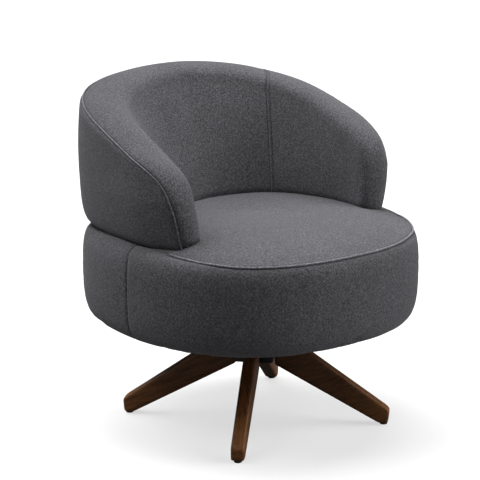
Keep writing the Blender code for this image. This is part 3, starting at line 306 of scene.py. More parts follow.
class ArmchairSettings(bpy.types.PropertyGroup):
    cloth_colour: colour_setting("Cloth", "Mean colour of the upholstery cloth", (0.0900, 0.0885, 0.0960))
    wood_colour: colour_setting("Wood", "Mean colour of the stained legs", (0.205, 0.084, 0.027))
    metal_colour: colour_setting("Hub", "Colour of the coated steel hub and plates", (0.012, 0.012, 0.013))
    weave_pitch: length_setting(
        "Weave pitch", "Distance between neighbouring threads", 0.0019, 0.0003, 0.01)
    welt_radius: length_setting(
        "Welt radius", "Radius of the sewn ridge along a seam", 0.0022, 0.0005, 0.006)
    stitch_pitch: length_setting(
        "Stitch pitch", "Length of one stitch along a seam", 0.0040, 0.001, 0.02)
    seam_depth: length_setting(
        "Seam depth", "How deep the cloth is drawn in along a seam", 0.0020, 0.0, 0.006)
    fill: share_setting("Fill", "How tightly the cushions are stuffed, from slack to full", 0.85, 1.0)
    slack: share_setting("Slack", "How much longer the cloth is cut than the form under it", 0.003, 0.05)
    unevenness: length_setting(
        "Unevenness", "Height of the soft waves in the upholstery", 0.0005, 0.0, 0.01)
    staple_pitch: length_setting(
        "Staple pitch", "Distance between the staples under the seat", 0.028, 0.01, 0.2)


# Nodes and materials

def node(tree, kind, inputs=None, **settings):
    """Adds a node; each input is a value, or a socket that it is linked to."""
    made = tree.nodes.new(kind)
    for key, value in settings.items():
        setattr(made, key, value)
    for key, value in (inputs or {}).items():
        if isinstance(value, bpy.types.NodeSocket):
            tree.links.new(value, made.inputs[key])
        else:
            made.inputs[key].default_value = value
    return made


def new_material(name, values):
    """A material, its nodes and its shader, with values set on the shader's own sockets."""
    made = bpy.data.materials.new(name)
    made.use_nodes = True
    shader = made.node_tree.nodes["Principled BSDF"]
    for label, value in values.items():
        shader.inputs[label].default_value = value
    return made, made.node_tree, shader


def ramp(tree, factor, *stops):
    """A ramp through stops of a position and a linear colour, or one number for a grey."""
    made = node(tree, "ShaderNodeValToRGB", {"Fac": factor})
    elements = made.color_ramp.elements
    while len(elements) < len(stops):
        elements.new(0.5)
    for element, (place, colour) in zip(elements, stops):
        element.position = place
        element.color = (*(colour if isinstance(colour, tuple) else (colour,) * 3), 1.0)
    return made.outputs["Color"]


def scaled(colour, factor):
    return tuple(min(channel * factor, 1.0) for channel in colour)


def shades(tree, factor, colour, *stops):
    """A ramp through stops of a position and how light one colour is there."""
    return ramp(tree, factor, *((place, scaled(colour, light)) for place, light in stops))


def mixed(tree, factor, first, second, blend="MIX"):
    """A colour mix; the two colours are the Mix node's seventh and eighth inputs."""
    inputs = {0: factor, 6: first, 7: second}
    return node(tree, "ShaderNodeMix", inputs, data_type="RGBA", blend_type=blend).outputs[2]


def darkened(tree, base, factor, *stops):
    """A colour multiplied by a ramp."""
    return mixed(tree, 1.0, base, ramp(tree, factor, *stops), "MULTIPLY")


def object_noise(tree, scale, detail=3.0, roughness=0.6, stretch=None, turn=(0.0, 0.0, 0.0)):
    """Noise in the piece's own space, with a scale in waves a metre."""
    place = node(tree, "ShaderNodeTexCoord").outputs["Object"]
    if stretch:
        turned = node(tree, "ShaderNodeMapping", {"Vector": place, "Rotation": turn})
        place = node(tree, "ShaderNodeMapping", {"Vector": turned.outputs["Vector"], "Scale": stretch})
        place = place.outputs["Vector"]
    return node(tree, "ShaderNodeTexNoise", {"Vector": place, "Scale": scale, "Detail": detail,
                                             "Roughness": roughness}).outputs["Fac"]


def bumped(tree, shader, height, distance, strength, under=None):
    """A bump on the shader, over one that was made before."""
    inputs = {"Height": height, "Distance": distance, "Strength": strength}
    if under:
        inputs["Normal"] = under
    made = node(tree, "ShaderNodeBump", inputs).outputs["Normal"]
    tree.links.new(made, shader.inputs["Normal"])
    return made


def roughened(tree, shader, grain, low, high):
    rough = node(tree, "ShaderNodeMapRange", {"Value": grain, "To Min": low, "To Max": high})
    tree.links.new(rough.outputs["Result"], shader.inputs["Roughness"])


def maths(tree, operation, first, second=0.0):
    return node(tree, "ShaderNodeMath", {0: first, 1: second}, operation=operation).outputs[0]


def vectors(tree, operation, first, second):
    return node(tree, "ShaderNodeVectorMath", {0: first, 1: second}, operation=operation).outputs[0]


def woven_height(tree, pitch):
    """The height of a plain weave over the piece's own flat map, in threads that cross over and under."""
    place = node(tree, "ShaderNodeUVMap").outputs["UV"]
    wobble = node(tree, "ShaderNodeTexNoise", {"Vector": place, "Scale": 260.0, "Detail": 2.0})
    shift = vectors(tree, "MULTIPLY", wobble.outputs["Color"], (pitch * 0.9,) * 3)
    place = vectors(tree, "ADD", place, shift)
    turns = node(tree, "ShaderNodeSeparateXYZ", {0: vectors(tree, "MULTIPLY", place, (math.pi / pitch,) * 3)})
    warp, weft = (maths(tree, "SINE", turns.outputs[axis]) for axis in "XY")
    return maths(tree, "ADD", maths(tree, "MULTIPLY", maths(tree, "MULTIPLY", warp, weft), 0.5), 0.5)


def cloth_material(name, colour, pitch):
    """Heathered wool-like cloth: mixed fibres, a fine weave, a soft nap, darker beside seams, partly pressed
    nap and partly painted shade, and painted shadow in creases.
    """
    made, tree, shader = new_material(name, {
        "Roughness": 0.92, "Specular IOR Level": 0.20,
        "Sheen Weight": 0.22, "Sheen Roughness": 0.45, "Sheen Tint": (0.80, 0.80, 0.84, 1.0)})
    fibres = object_noise(tree, 620.0, 4.0, 0.75)
    tufts = object_noise(tree, 285.0, 3.0, 0.72)
    patches = object_noise(tree, 9.0, 2.0, 0.5)
    woven = woven_height(tree, pitch)
    pressed_and_shade = node(tree, "ShaderNodeAttribute", attribute_name="pressed_and_shade").outputs["Fac"]
    base = shades(tree, fibres, colour, (0.34, 0.45), (0.50, 1.0), (0.66, 1.9))
    base = mixed(tree, 0.66, base, shades(tree, tufts, colour, (0.40, 0.39), (0.50, 0.95), (0.60, 2.0)))
    base = darkened(tree, base, patches, (0.30, 0.90), (0.70, 1.0))
    base = darkened(tree, base, woven, (0.10, 0.62), (0.75, 1.12))
    # Painted shade from the mesh's attribute: partly pressed nap beside seams, and painted shadow in the
    # creases where back and seat meet.
    base = darkened(tree, base, pressed_and_shade, (0.0, 1.0), (0.5, 0.58), (1.0, 0.06))
    tree.links.new(base, shader.inputs["Base Color"])
    coarse = bumped(tree, shader, tufts, 0.0026, 0.60)
    threads = bumped(tree, shader, woven, 0.0009, 0.7, coarse)
    bumped(tree, shader, fibres, 0.0008, 0.6, threads)
    return made


def wood_material(name, colour, turn):
    """Dark stained walnut whose grain runs down a leg, with a painted highlight that lightens it towards its
    toe.
    """
    made, tree, shader = new_material(name, {
        "Specular IOR Level": 0.22, "Coat Weight": 0.03, "Coat Roughness": 0.35})
    turning = (0.0, LEG_SLOPE, -turn)
    grain = object_noise(tree, 5.0, 6.0, 0.62, (2.2, 34.0, 34.0), turning)
    pores = object_noise(tree, 26.0, 3.0, 0.6, (2.0, 60.0, 60.0), turning)
    figure = object_noise(tree, 9.0, 2.0, 0.5)
    level = vectors(tree, "MULTIPLY", node(tree, "ShaderNodeTexCoord").outputs["Object"], (1.0, 1.0, 0.0))
    reach = node(tree, "ShaderNodeVectorMath", {0: level, 1: (0.0, SWIVEL_Y, 0.0)}, operation="DISTANCE")
    # A painted highlight: the wood is coloured lighter towards the toe, where the rounded ends catch light.
    toe_highlight = node(tree, "ShaderNodeMapRange", {
        "Value": reach.outputs["Value"], "From Min": TOE_HIGHLIGHT_REACH[0], "From Max": TOE_HIGHLIGHT_REACH[1]})
    base = shades(tree, grain, colour, (0.30, 0.45), (0.48, 0.95), (0.60, 1.35), (0.74, 0.70))
    base = darkened(tree, base, pores, (0.36, (0.55, 0.52, 0.50)), (0.50, 1.0))
    base = darkened(tree, base, figure, (0.3, (0.80, 0.78, 0.76)), (0.7, 1.0))
    base = darkened(tree, base, toe_highlight.outputs["Result"], (0.0, (0.48, 0.46, 0.44)), (1.0, 1.0))
    tree.links.new(base, shader.inputs["Base Color"])
    roughened(tree, shader, grain, 0.36, 0.56)
    bumped(tree, shader, pores, 0.0004, 0.35)
    return made


def grained_material(name, low, high, scale, roughness, metallic, bump, stretch=None):
    """A finish from a table: colours, noise scale, roughness range, metallic, bump and grain's stretch."""
    made, tree, shader = new_material(name, {"Metallic": metallic})
    grain = object_noise(tree, scale, 4.0, 0.6, stretch)
    tree.links.new(ramp(tree, grain, (0.32, low), (0.68, high)), shader.inputs["Base Color"])
    roughened(tree, shader, grain, *roughness)
    bumped(tree, shader, object_noise(tree, scale * 3, 3.0, 0.6, stretch), bump, 0.6)
    return made


FINISHES = {
    "zinc_steel": ((0.42, 0.42, 0.40), 0.60, 260.0, (0.28, 0.48), 1.0, 0.00005),
    "nylon": (0.020, 0.032, 500.0, (0.50, 0.65), 0.0, 0.0001),
    "plywood": ((0.40, 0.27, 0.15), (0.60, 0.44, 0.27), 14.0, (0.60, 0.80), 0.0, 0.0003, (1.5, 9.0, 30.0)),
    "webbing_cloth": ((0.18, 0.14, 0.10), (0.34, 0.28, 0.21), 700.0, (0.80, 0.95), 0.0, 0.0006),
    "lining_cloth": (0.006, 0.016, 900.0, (0.85, 0.98), 0.0, 0.0003),
}

# How much lighter than the cloth its welts and stitches are coloured, and how fine their threads are
# The welts' lighter colour is a painted highlight on their tops.
SEAM_SHADES = {"seat_welt_highlight_cloth": 1.62, "back_welt_highlight_cloth": 1.50, "seam_thread": 1.45}
SEAM_WEAVE = 0.6


def material(name):
    """A finish by the name of its slot, made once."""
    label = "armchair_" + name
    settings = bpy.context.scene.armchair
    if label in bpy.data.materials:
        return bpy.data.materials[label]
    if name == "charcoal_cloth":
        return cloth_material(label, tuple(settings.cloth_colour), settings.weave_pitch)
    # Welts and stitches get lighter copies of the cloth; on the welts this is a painted highlight.
    if name in SEAM_SHADES:
        shade = scaled(settings.cloth_colour, SEAM_SHADES[name])
        return cloth_material(label, shade, settings.weave_pitch * SEAM_WEAVE)
    if name == "black_steel":
        low, high = (scaled(settings.metal_colour, light) for light in (0.8, 1.3))
        return grained_material(label, low, high, 900.0, (0.42, 0.58), 0.3, 0.0001)
    return grained_material(label, *FINISHES[name])


# Meshes

def linked(name, data):
    """A new object in the scene."""
    piece = bpy.data.objects.new(name, data)
    bpy.context.scene.collection.objects.link(piece)
    return piece


def plain_mesh(name, points, faces, edges=None):
    mesh = bpy.data.meshes.new(name)
    mesh.from_pydata([tuple(point) for point in points], edges or [], faces)
    return mesh


def strip_faces(first, second):
    """Faces between two rows of point numbers."""
    return [(first[at], first[at + 1], second[at + 1], second[at]) for at in range(len(first) - 1)]


def grid_faces(rows, columns, start=0, closed=False):
    """Faces between the rows of a grid of points that are numbered from a start."""
    faces = []
    for row in range(rows - 1):
        line = list(range(start + row * columns, start + (row + 1) * columns))
        line += line[:1] if closed else []
        faces += strip_faces(line, [place + columns for place in line])
    return faces


def new_piece(name, points, faces, finish, flat_map=None, smooth_angle=40.0, pressed_and_shade=None):
    """A piece turned outwards and smooth, with its cloth's flat map in metres and how much painted shade,
    partly pressed nap, darkens it.
    """
    mesh = plain_mesh(name, points, faces)
    if flat_map is not None:
        layer = mesh.uv_layers.new(name="cloth")
        corners = np.zeros(len(mesh.loops), dtype=np.int32)
        mesh.loops.foreach_get("vertex_index", corners)
        layer.data.foreach_set("uv", np.asarray(flat_map, dtype=np.float32)[corners].ravel())
    if pressed_and_shade is not None:
        mark = mesh.attributes.new("pressed_and_shade", "FLOAT", "POINT")
        mark.data.foreach_set("value", np.asarray(pressed_and_shade, dtype=np.float32))
    form = bmesh.new()
    form.from_mesh(mesh)
    bmesh.ops.remove_doubles(form, verts=form.verts, dist=2e-6)
    bmesh.ops.dissolve_degenerate(form, edges=form.edges, dist=1e-7)
    bmesh.ops.recalc_face_normals(form, faces=form.faces)
    form.to_mesh(mesh)
    form.free()
    mesh.shade_smooth()
    mesh.set_sharp_from_angle(angle=math.radians(smooth_angle))
    mesh.materials.append(material(finish))
    return linked(name, mesh)


def baked(piece):
    """Turns a piece with modifiers into a plain mesh."""
    bpy.context.view_layer.update()
    graph = bpy.context.evaluated_depsgraph_get()
    mesh = bpy.data.meshes.new_from_object(piece.evaluated_get(graph))
    mesh.name = piece.data.name + "_made"
    piece.modifiers.clear()
    piece.data = mesh


def take_away(piece, cutters):
    """Cuts other meshes out of a piece and removes them."""
    for cutter in cutters:
        hole = piece.modifiers.new("cut", "BOOLEAN")
        hole.operation = "DIFFERENCE"
        hole.solver = "EXACT"
        hole.use_self = cutter.name == "back_pocket"
        hole.object = cutter
    before = len(piece.data.polygons)
    baked(piece)
    if len(piece.data.polygons) < before * 0.4:
        raise RuntimeError("cutting " + piece.name + " took away too much of it")
    for cutter in cutters:
        bpy.data.objects.remove(cutter, do_unlink=True)


def plain_cylinder(name, place, radius, height):
    form = bmesh.new()
    bmesh.ops.create_cone(form, cap_ends=True, segments=24, radius1=radius, radius2=radius, depth=height)
    bmesh.ops.translate(form, verts=form.verts, vec=place)
    mesh = bpy.data.meshes.new(name)
    form.to_mesh(mesh)
    form.free()
    return linked(name, mesh)


def step_lengths(grid):
    """The distances between neighbours down a line of points, or down each column of a grid."""
    return np.linalg.norm(np.diff(np.asarray(grid, dtype=float), axis=0), axis=-1)


def summed(steps):
    """The running total of steps, from 0."""
    return np.concatenate([[0.0], np.cumsum(steps)])


def lengths_down(grid):
    """How far down its column each point of a grid lies."""
    along = np.zeros(grid.shape[:2])
    along[1:] = np.cumsum(step_lengths(grid), axis=0)
    return along


def line_length(line):
    return float(np.sum(step_lengths(line)))


def resampled(line, steps):
    """Points at given distances along a line of points, one row to each."""
    length = summed(step_lengths(line))
    return np.stack([np.interp(steps, length, line[:, axis]) for axis in range(line.shape[1])], axis=1)


def spaced(length, pitch, fine_start=False, fine_end=False):
    """Shares of a length about a pitch apart, crowded beside a seam at either end."""
    low = [step for step in SEAM_STEPS if step < length / 3] if fine_start else [0.0]
    high = [length - step for step in SEAM_STEPS if step < length / 3][::-1] if fine_end else [length]
    count = max(int(round((high[0] - low[-1]) / pitch)), 1)
    middle = np.linspace(low[-1], high[0], count + 1)[1:-1]
    return np.concatenate([low, middle, high]) / length


def crowded(places, seam):
    """Places along a skin with those beside a seam put closer together."""
    extra = [seam + sign * step for step in SEAM_STEPS for sign in (-1, 1) if step or sign > 0]
    return [value for value in places if abs(value - seam) > SEAM_STEPS[-1] + SEAM_ROOM] + extra


def softened(line, width):
    """A line smoothed over a width, with its ends and their directions kept."""
    steps, pitch = np.linspace(0.0, line_length(line), 241, retstep=True)
    even = resampled(line, steps)
    reach = max(int(3 * width / pitch), 1)
    weights = bell(np.arange(-reach, reach + 1) * pitch, math.sqrt(2.0) * width)
    weights /= weights.sum()
    before = 2 * even[0] - even[reach:0:-1]
    after = 2 * even[-1] - even[-2:-reach - 2:-1]
    padded = np.concatenate([before, even, after])
    return np.stack([np.convolve(padded[:, axis], weights, "valid") for axis in range(3)], axis=1)


def waves(points, scale, seed):
    """Soft noise from -1 to 1 at each point."""
    shift = Vector((seed * 7.3, seed * 3.1, seed * 5.7))
    return np.array([noise.noise(Vector(point) * scale + shift) for point in points])


def grid_normals(grid, closed):
    """Unit normals of a grid of points, rows by columns."""
    if closed:
        across = np.roll(grid, -1, axis=1) - np.roll(grid, 1, axis=1)
    else:
        across = np.gradient(grid, axis=1)
    normal = np.cross(across, np.gradient(grid, axis=0))
    return normal / np.maximum(np.linalg.norm(normal, axis=2, keepdims=True), 1e-12)


def bell(distance, width):
    """1 at no distance, falling to 0 over about twice a width."""
    return np.exp(-(distance / width) ** 2)


def smoothly(at, places, values, width=4.0):
    """A table of values by angle either side of the middle, read with its corners rounded off."""
    even = np.arange(-180.0, 181.0)
    reach = int(3 * width)
    weights = bell(np.arange(-reach, reach + 1), math.sqrt(2.0) * width)
    table = np.pad(np.interp(np.abs(even), places, values), reach, mode="edge")
    return np.interp(at, even, np.convolve(table, weights / weights.sum(), "valid"))


def beside_seam_lines(distance, offset):
    """1 in the two narrow lines at an offset either side of a seam, falling to 0 away from them."""
    return bell(np.abs(distance) - offset, SEAM_SHADE_WIDTH)


def felled_seam(distance, depth):
    """The form of a flat seam sewn down on both sides: a low ridge between two grooves."""
    ridge = FELLED_RIDGE * bell(distance, FELLED_RIDGE_WIDTH)
    return depth * (ridge - FELLED_GROOVE * beside_seam_lines(distance, FELLED_HALF_WIDTH))


def cloth_moves(grid, from_seam, free, held, scales, seed, settings):
    """How cloth lies where it is free and beside its seam: soft waves, small puckers, a dip at the seam."""
    free = free * (1 - bell(from_seam, SEAM_HOLD))
    points = grid.reshape(-1, 3)
    wide, close, puckers = (waves(points, scale, seed + number).reshape(free.shape)
                            for number, scale in enumerate(scales))
    move = settings.unevenness * free * (wide + CLOSE_WAVES_SHARE * close)
    move += PUCKER_HEIGHT * np.exp(-np.abs(from_seam) / PUCKER_WIDTH) * held * puckers
    return move - held * settings.seam_depth * bell(from_seam, SEAM_DIP_WIDTH) - CLOTH_DRAW * free


# Stuffing

def thinned(lengths, pitch, keep=()):
    """Places in a rising list of lengths about a pitch apart, with the ends and those to keep."""
    chosen = [0]
    for place in range(1, len(lengths) - 1):
        ahead = [stop for stop in list(keep) + [len(lengths) - 1] if stop > place]
        near_stop = lengths[min(ahead)] - lengths[place] < 0.6 * pitch
        if place in keep or (lengths[place] - lengths[chosen[-1]] >= pitch and not near_stop):
            chosen.append(place)
    return np.array(chosen + [len(lengths) - 1])


def simulated(name, grid, closed, held, settings):
    """Where a cloth of this form settles under the stuffing's pressure, held where it is sewn."""
    rows, columns = grid.shape[:2]
    piece = linked(name, plain_mesh(name, grid.reshape(-1, 3), grid_faces(rows, columns, closed=closed)))
    pins = piece.vertex_groups.new(name="sewn")
    pins.add([int(place) for place in np.nonzero(held.ravel())[0]], 1.0, "REPLACE")
    cloth = piece.modifiers.new("cloth", "CLOTH")
    for label, value in CLOTH_SETTINGS.items():
        setattr(cloth.settings, label, value)
    cloth.settings.vertex_group_mass = "sewn"
    cloth.settings.shrink_min = -settings.slack
    cloth.settings.effector_weights.gravity = 0.0
    cloth.collision_settings.use_collision = False
    cloth.point_cache.frame_start, cloth.point_cache.frame_end = 1, CLOTH_FRAMES
    scene = bpy.context.scene
    for moment in range(1, CLOTH_FRAMES + 1):
        scene.frame_set(moment)
    settled = piece.evaluated_get(bpy.context.evaluated_depsgraph_get()).data
    places = np.zeros(len(settled.vertices) * 3, dtype=np.float32)
    settled.vertices.foreach_get("co", places)
    scene.frame_set(1)
    bpy.data.objects.remove(piece, do_unlink=True)
    return places.reshape(grid.shape).astype(float)


def stuffed(name, grid, closed, seam_row, sewn_columns, settings):
    """How the stuffing moves each point: a coarser copy settles as cloth and is read back smoothly."""
    down = summed(step_lengths(grid).mean(axis=1))
    across = summed(step_lengths(grid.transpose(1, 0, 2)).max(axis=1))
    rows = thinned(down, CLOTH_PITCH, [seam_row])
    columns = thinned(across, CLOTH_PITCH, sewn_columns)
    coarse = grid[np.ix_(rows, columns)]
    held = np.zeros(coarse.shape[:2], dtype=bool)
    held[np.isin(rows, [0, seam_row, len(down) - 1])] = True
    held[np.ix_(rows <= seam_row, np.isin(columns, sewn_columns))] = True
    if not closed:
        held[:, [0, -1]] = True
    moved = simulated(name, coarse, closed, held, settings) - coarse
    length = np.linalg.norm(moved, axis=2, keepdims=True)
    moved *= CLOTH_CAP * np.tanh(length / CLOTH_CAP) / np.maximum(length, 1e-9)
    moved = spline(down[rows], moved, down)
    return spline(across[columns], moved.transpose(1, 0, 2), across).transpose(1, 0, 2)


def outward_normals(grid, closed, along, row, inside):
    """Normals away from a place inside, evened down the columns so that no two cross at a crease."""
    normals = grid_normals(grid, closed)
    middle = grid.shape[1] // 2
    if normals[row, middle] @ (grid[row, middle] - inside) < 0:
        normals = -normals
    weight = bell(along[:, None, :] - along[None, :, :], NORMAL_WIDTH)
    mean = np.einsum("ijc,jck->ick", weight, normals)
    return mean / np.maximum(np.linalg.norm(mean, axis=2, keepdims=True), 1e-12)


# The seat's form

def seat_plan(angle, inset):
    """The seat's rounded outline at an angle from the front, set in by an inset."""
    across, along = np.sin(angle), -np.cos(angle)
    power = 2.0 / SEAT_SQUARENESS
    reach = np.where(along < 0, SEAT_FRONT, SEAT_REAR)
    return ((SEAT_HALF_WIDTH - inset) * np.sign(across) * np.abs(across) ** power,
            (reach - inset) * np.sign(along) * np.abs(along) ** power)


def seat_angles():
    """Angles evenly spaced along the outline, with more of them beside the side seams, and their lengths."""
    dense = np.linspace(-math.pi, math.pi, 8001)
    length = summed(step_lengths(np.stack(seat_plan(dense, 0.0), axis=1)))
    wanted = list(np.linspace(0.0, length[-1], SEAT_COLUMN_COUNT + 1)[:-1])
    for seam in SIDE_SEAM_ANGLES:
        wanted = crowded(wanted, float(np.interp(seam, dense, length)))
    wanted = np.array(sorted(wanted))
    return np.interp(wanted, length, dense), wanted


def round_inset(share, depth, power):
    """How far a rounded edge has come in where a share of its height is left."""
    return depth * (1 - (1 - np.minimum(share, 1.0) ** power) ** (1 / power))


def seat_profile():
    """The side's section as inset and height: hem, rounded underside, widest line, shoulder and seam."""
    down = np.linspace(1.0, 0.0, 400)
    up = np.linspace(0.0, 1.0, 400)[1:]
    hem = [(SEAT_UNDER_INSET + COVER_TURN_IN, SEAT_BOTTOM_Z)]
    lower = np.stack([round_inset(down, SEAT_UNDER_INSET, SEAT_UNDER_ROUND),
                      SEAT_WIDEST_Z - down * (SEAT_WIDEST_Z - SEAT_BOTTOM_Z)], axis=1)
    upper = np.stack([round_inset(up, SEAT_SEAM_INSET, SEAT_SHOULDER_ROUND),
                      SEAT_WIDEST_Z + up * (SEAT_SEAM_Z - SEAT_WIDEST_Z)], axis=1)
    return np.concatenate([hem, lower, upper])


# The back's form

def through_stations(share, first, middle, last, middle_at=0.6):
    """A parabola through three values at shares of 0, the middle's and 1."""
    a = (share - middle_at) * (share - 1) / middle_at
    b = share * (share - 1) / (middle_at * (middle_at - 1))
    c = share * (share - middle_at) / (1 - middle_at)
    return a * first + b * middle + c * last


def rim_line():
    """The rim's crest on one side: length from the rear, height, and the direction into the back."""
    share = 1 - (1 - np.linspace(0.0, 1.0, 3000)) ** 3
    slope = 1 - ARM_DROP * share ** ARM_DROP_POWER
    shoulder = np.sqrt(np.maximum(0.0, 1 - share ** ARM_SHOULDER_POWER))
    height = BACK_BOTTOM_Z + (BACK_TOP_Z - BACK_BOTTOM_Z) * slope * shoulder
    along = share * ARM_END_ANGLE * RIM_RADIUS
    run, fall = np.diff(along), np.diff(height)
    angle = np.concatenate([[0.0], np.arctan2(-fall, run)[1:], [math.pi / 2]])
    measure = summed(np.hypot(run, fall)) + TURN_WEIGHT * summed(np.abs(np.diff(angle)))
    wanted = measure[-1] * (1 - (1 - np.linspace(0.0, 1.0, BACK_COLUMNS + 1)) ** END_CROWDING)
    s, z, a = (np.interp(wanted, measure, values) for values in (along, height, angle))
    a[0], a[-1] = 0.0, math.pi / 2
    return s, z, -np.sin(a), -np.cos(a)


RIM_S, RIM_Z, RIM_IN_S, RIM_IN_Z = rim_line()


def edge_height(psi, depth):
    """The height of the line that runs a depth below the rim's crest, at an angle from the rear."""
    s = (RIM_S + RIM_IN_S * depth) / RIM_RADIUS
    z = np.maximum(RIM_Z + RIM_IN_Z * depth, BACK_BOTTOM_Z)
    return float(np.interp(abs(psi), s, z))


def wall_place(psi, height, depth):
    """Shares of the way to the arm's end and up the wall there, and of the wall's full height."""
    wall = max(edge_height(psi, depth) - BACK_BOTTOM_Z, 1e-6)
    up = min(max((height - BACK_BOTTOM_Z) / wall, 0.0), 1.0)
    return min(abs(psi) / ARM_END_ANGLE, 1.0), up, min(wall / EDGE_FADE, 1.0)


def outer_wall(psi, height, inset):
    """A point of the back's outside at an angle from the rear and a height, set in by an inset."""
    across, along = math.sin(psi), math.cos(psi)
    radius = BACK_HALF_WIDTH
    if along > 0:
        radius = 1 / ((abs(across) / BACK_HALF_WIDTH) ** BACK_SQUARENESS
                      + (along / BACK_DEPTH) ** BACK_SQUARENESS) ** (1 / BACK_SQUARENESS)
    share, up, fade = wall_place(psi, height, RIM_OUTER_DEPTH)
    seam = SEAM_INSET_ARM + (SEAM_INSET_REAR - SEAM_INSET_ARM) * (1 - share) ** 2
    roll = UNDER_ROLL + (UNDER_ROLL_ARM - UNDER_ROLL) * share ** 4
    low = max(1 - (height - BACK_BOTTOM_Z) / UNDER_ROLL_HEIGHT, 0.0)
    lean = SIDE_LEAN * max(1 - (height - BACK_BOTTOM_Z) / LEAN_HEIGHT, 0.0)
    radius -= inset + seam * up ** 2.5 * fade + lean + roll * (1 - math.sqrt(1 - low * low))
    return Vector((radius * across, BACK_CENTRE_Y + radius * along, height))


def inner_foot(psi):
    """A point of the foot of the back's inside."""
    phi = psi * INNER_END_ANGLE / ARM_END_ANGLE
    return Vector((INNER_RADIUS * math.sin(phi), INNER_CENTRE_Y + INNER_RADIUS * math.cos(phi), 0.0))


def inner_wall(psi, height, inset):
    """A point of the back's inside at an angle from the rear and a height, set in by an inset."""
    share, up, fade = wall_place(psi, height, RIM_INNER_DEPTH)
    seam = outer_wall(psi, edge_height(psi, RIM_OUTER_DEPTH), 0.0)
    foot = inner_foot(psi)
    inwards = Vector((foot.x - seam.x, foot.y - seam.y, 0.0))
    full = inwards.length
    inwards.normalize()
    width = through_stations(share, *RIM_WIDTHS)
    bulge = INNER_BULGE * 4 * up * (1 - up) * (1 - share ** 3)
    reach = full + (width - full) * up * fade + bulge - inset
    return Vector((seam.x, seam.y, 0.0)) + inwards * reach + Vector((0.0, 0.0, height))


def rim_depth(across):
    """How far below its crest the rim lies at a share of its width."""
    if across < RIM_CREST:
        return RIM_OUTER_DEPTH * ((RIM_CREST - across) / RIM_CREST) ** 2.2
    return RIM_INNER_DEPTH * (1 - math.sqrt(1 - ((across - RIM_CREST) / (1 - RIM_CREST)) ** 2))


WALL_SHARES = np.concatenate([np.linspace(0.0, 0.2, 13), np.linspace(0.2, 1.0, 21)[1:]])
RIM_SHARES = np.concatenate([np.linspace(0.0, RIM_CREST, 9)[1:],
                             RIM_CREST + (1 - RIM_CREST) * np.sin(np.linspace(0.0, math.pi / 2, 11)[1:-1])])
INSIDE_SHARES = np.linspace(1.0, 0.0, 25)


def back_column(index, side, outer=0.0, inner=0.0, rim=0.0):
    """One column of the back's skin as two lines: up the outside to the seam, and over the rim inside."""
    s, z, in_s, in_z = RIM_S[index], RIM_Z[index], RIM_IN_S[index], RIM_IN_Z[index]
    last_column = index == BACK_COLUMNS

    def edge(depth):
        return side * (s + in_s * (depth + rim)) / RIM_RADIUS, max(z + in_z * (depth + rim), BACK_BOTTOM_Z)

    psi_out, z_out = edge(RIM_OUTER_DEPTH)
    psi_in, z_in = edge(RIM_INNER_DEPTH)
    if last_column:
        z_out = z_in = BACK_BOTTOM_Z
    outside = [outer_wall(psi_out, BACK_BOTTOM_Z + (z_out - BACK_BOTTOM_Z) * step, outer)
               for step in WALL_SHARES]
    inside = [inner_wall(psi_in, BACK_BOTTOM_Z + (z_in - BACK_BOTTOM_Z) * step, inner)
              for step in INSIDE_SHARES]
    first, last = outside[-1], inside[0]
    forwards = side * Vector((-(last - first).y, (last - first).x, 0.0)).normalized()
    if forwards.y > 0 and abs(psi_out) > math.pi / 2:
        forwards = -forwards
    over = [first]
    for across in RIM_SHARES:
        depth = rim_depth(across)
        even = RIM_OUTER_DEPTH + (RIM_INNER_DEPTH - RIM_OUTER_DEPTH) * across
        point = first.lerp(last, across) + forwards * (in_s * (depth - even))
        point.z = max(z + in_z * (depth + rim), BACK_BOTTOM_Z)
        if last_column:
            point.z = BACK_BOTTOM_Z
        over.append(point)
    return outside, over + inside


def spline(knots, values, at):
    """A smooth curve through values at knots, natural at its ends, read at other places."""
    knots, values = np.asarray(knots), np.asarray(values)
    count = len(knots)
    step = np.diff(knots)
    slope = np.diff(values, axis=0) / step.reshape((-1,) + (1,) * (values.ndim - 1))
    system = np.zeros((count, count))
    right = np.zeros_like(values)
    system[0, 0] = system[-1, -1] = 1.0
    for row in range(1, count - 1):
        system[row, row - 1:row + 2] = step[row - 1], 2 * (step[row - 1] + step[row]), step[row]
        right[row] = 6 * (slope[row] - slope[row - 1])
    bend = np.linalg.solve(system, right.reshape(count, -1)).reshape(values.shape)
    found = np.clip(np.searchsorted(knots, at) - 1, 0, count - 2)
    shape = (-1,) + (1,) * (values.ndim - 1)
    h = step[found].reshape(shape)
    a = ((knots[found + 1] - at).reshape(shape)) / h
    b = 1 - a
    return (a * values[found] + b * values[found + 1]
            + ((a ** 3 - a) * bend[found] + (b ** 3 - b) * bend[found + 1]) * h * h / 6)


def back_skin(outer=0.0, inner=0.0, rim=0.0):
    """The back's columns from the right arm end round the rear to the left one, as two grids of lines."""
    columns = [back_column(index, -1, outer, inner, rim) for index in range(BACK_COLUMNS, 0, -1)]
    columns += [back_column(index, 1, outer, inner, rim) for index in range(BACK_COLUMNS + 1)]
    return (np.array([[tuple(point) for point in outside] for outside, over in columns]),
            np.array([[tuple(point) for point in over] for outside, over in columns]))


# Geometry nodes

def node_group(name, labels):
    """A geometry node group with a geometry input, named inputs, a material and a geometry output."""
    group = bpy.data.node_groups.new(name, "GeometryNodeTree")
    inputs = [("Geometry", "Geometry"), *((label, "Float") for label in labels), ("Material", "Material")]
    for label, kind in inputs:
        group.interface.new_socket(label, in_out="INPUT", socket_type="NodeSocket" + kind)
    group.interface.new_socket("Geometry", in_out="OUTPUT", socket_type="NodeSocketGeometry")
    return group, node(group, "NodeGroupInput").outputs


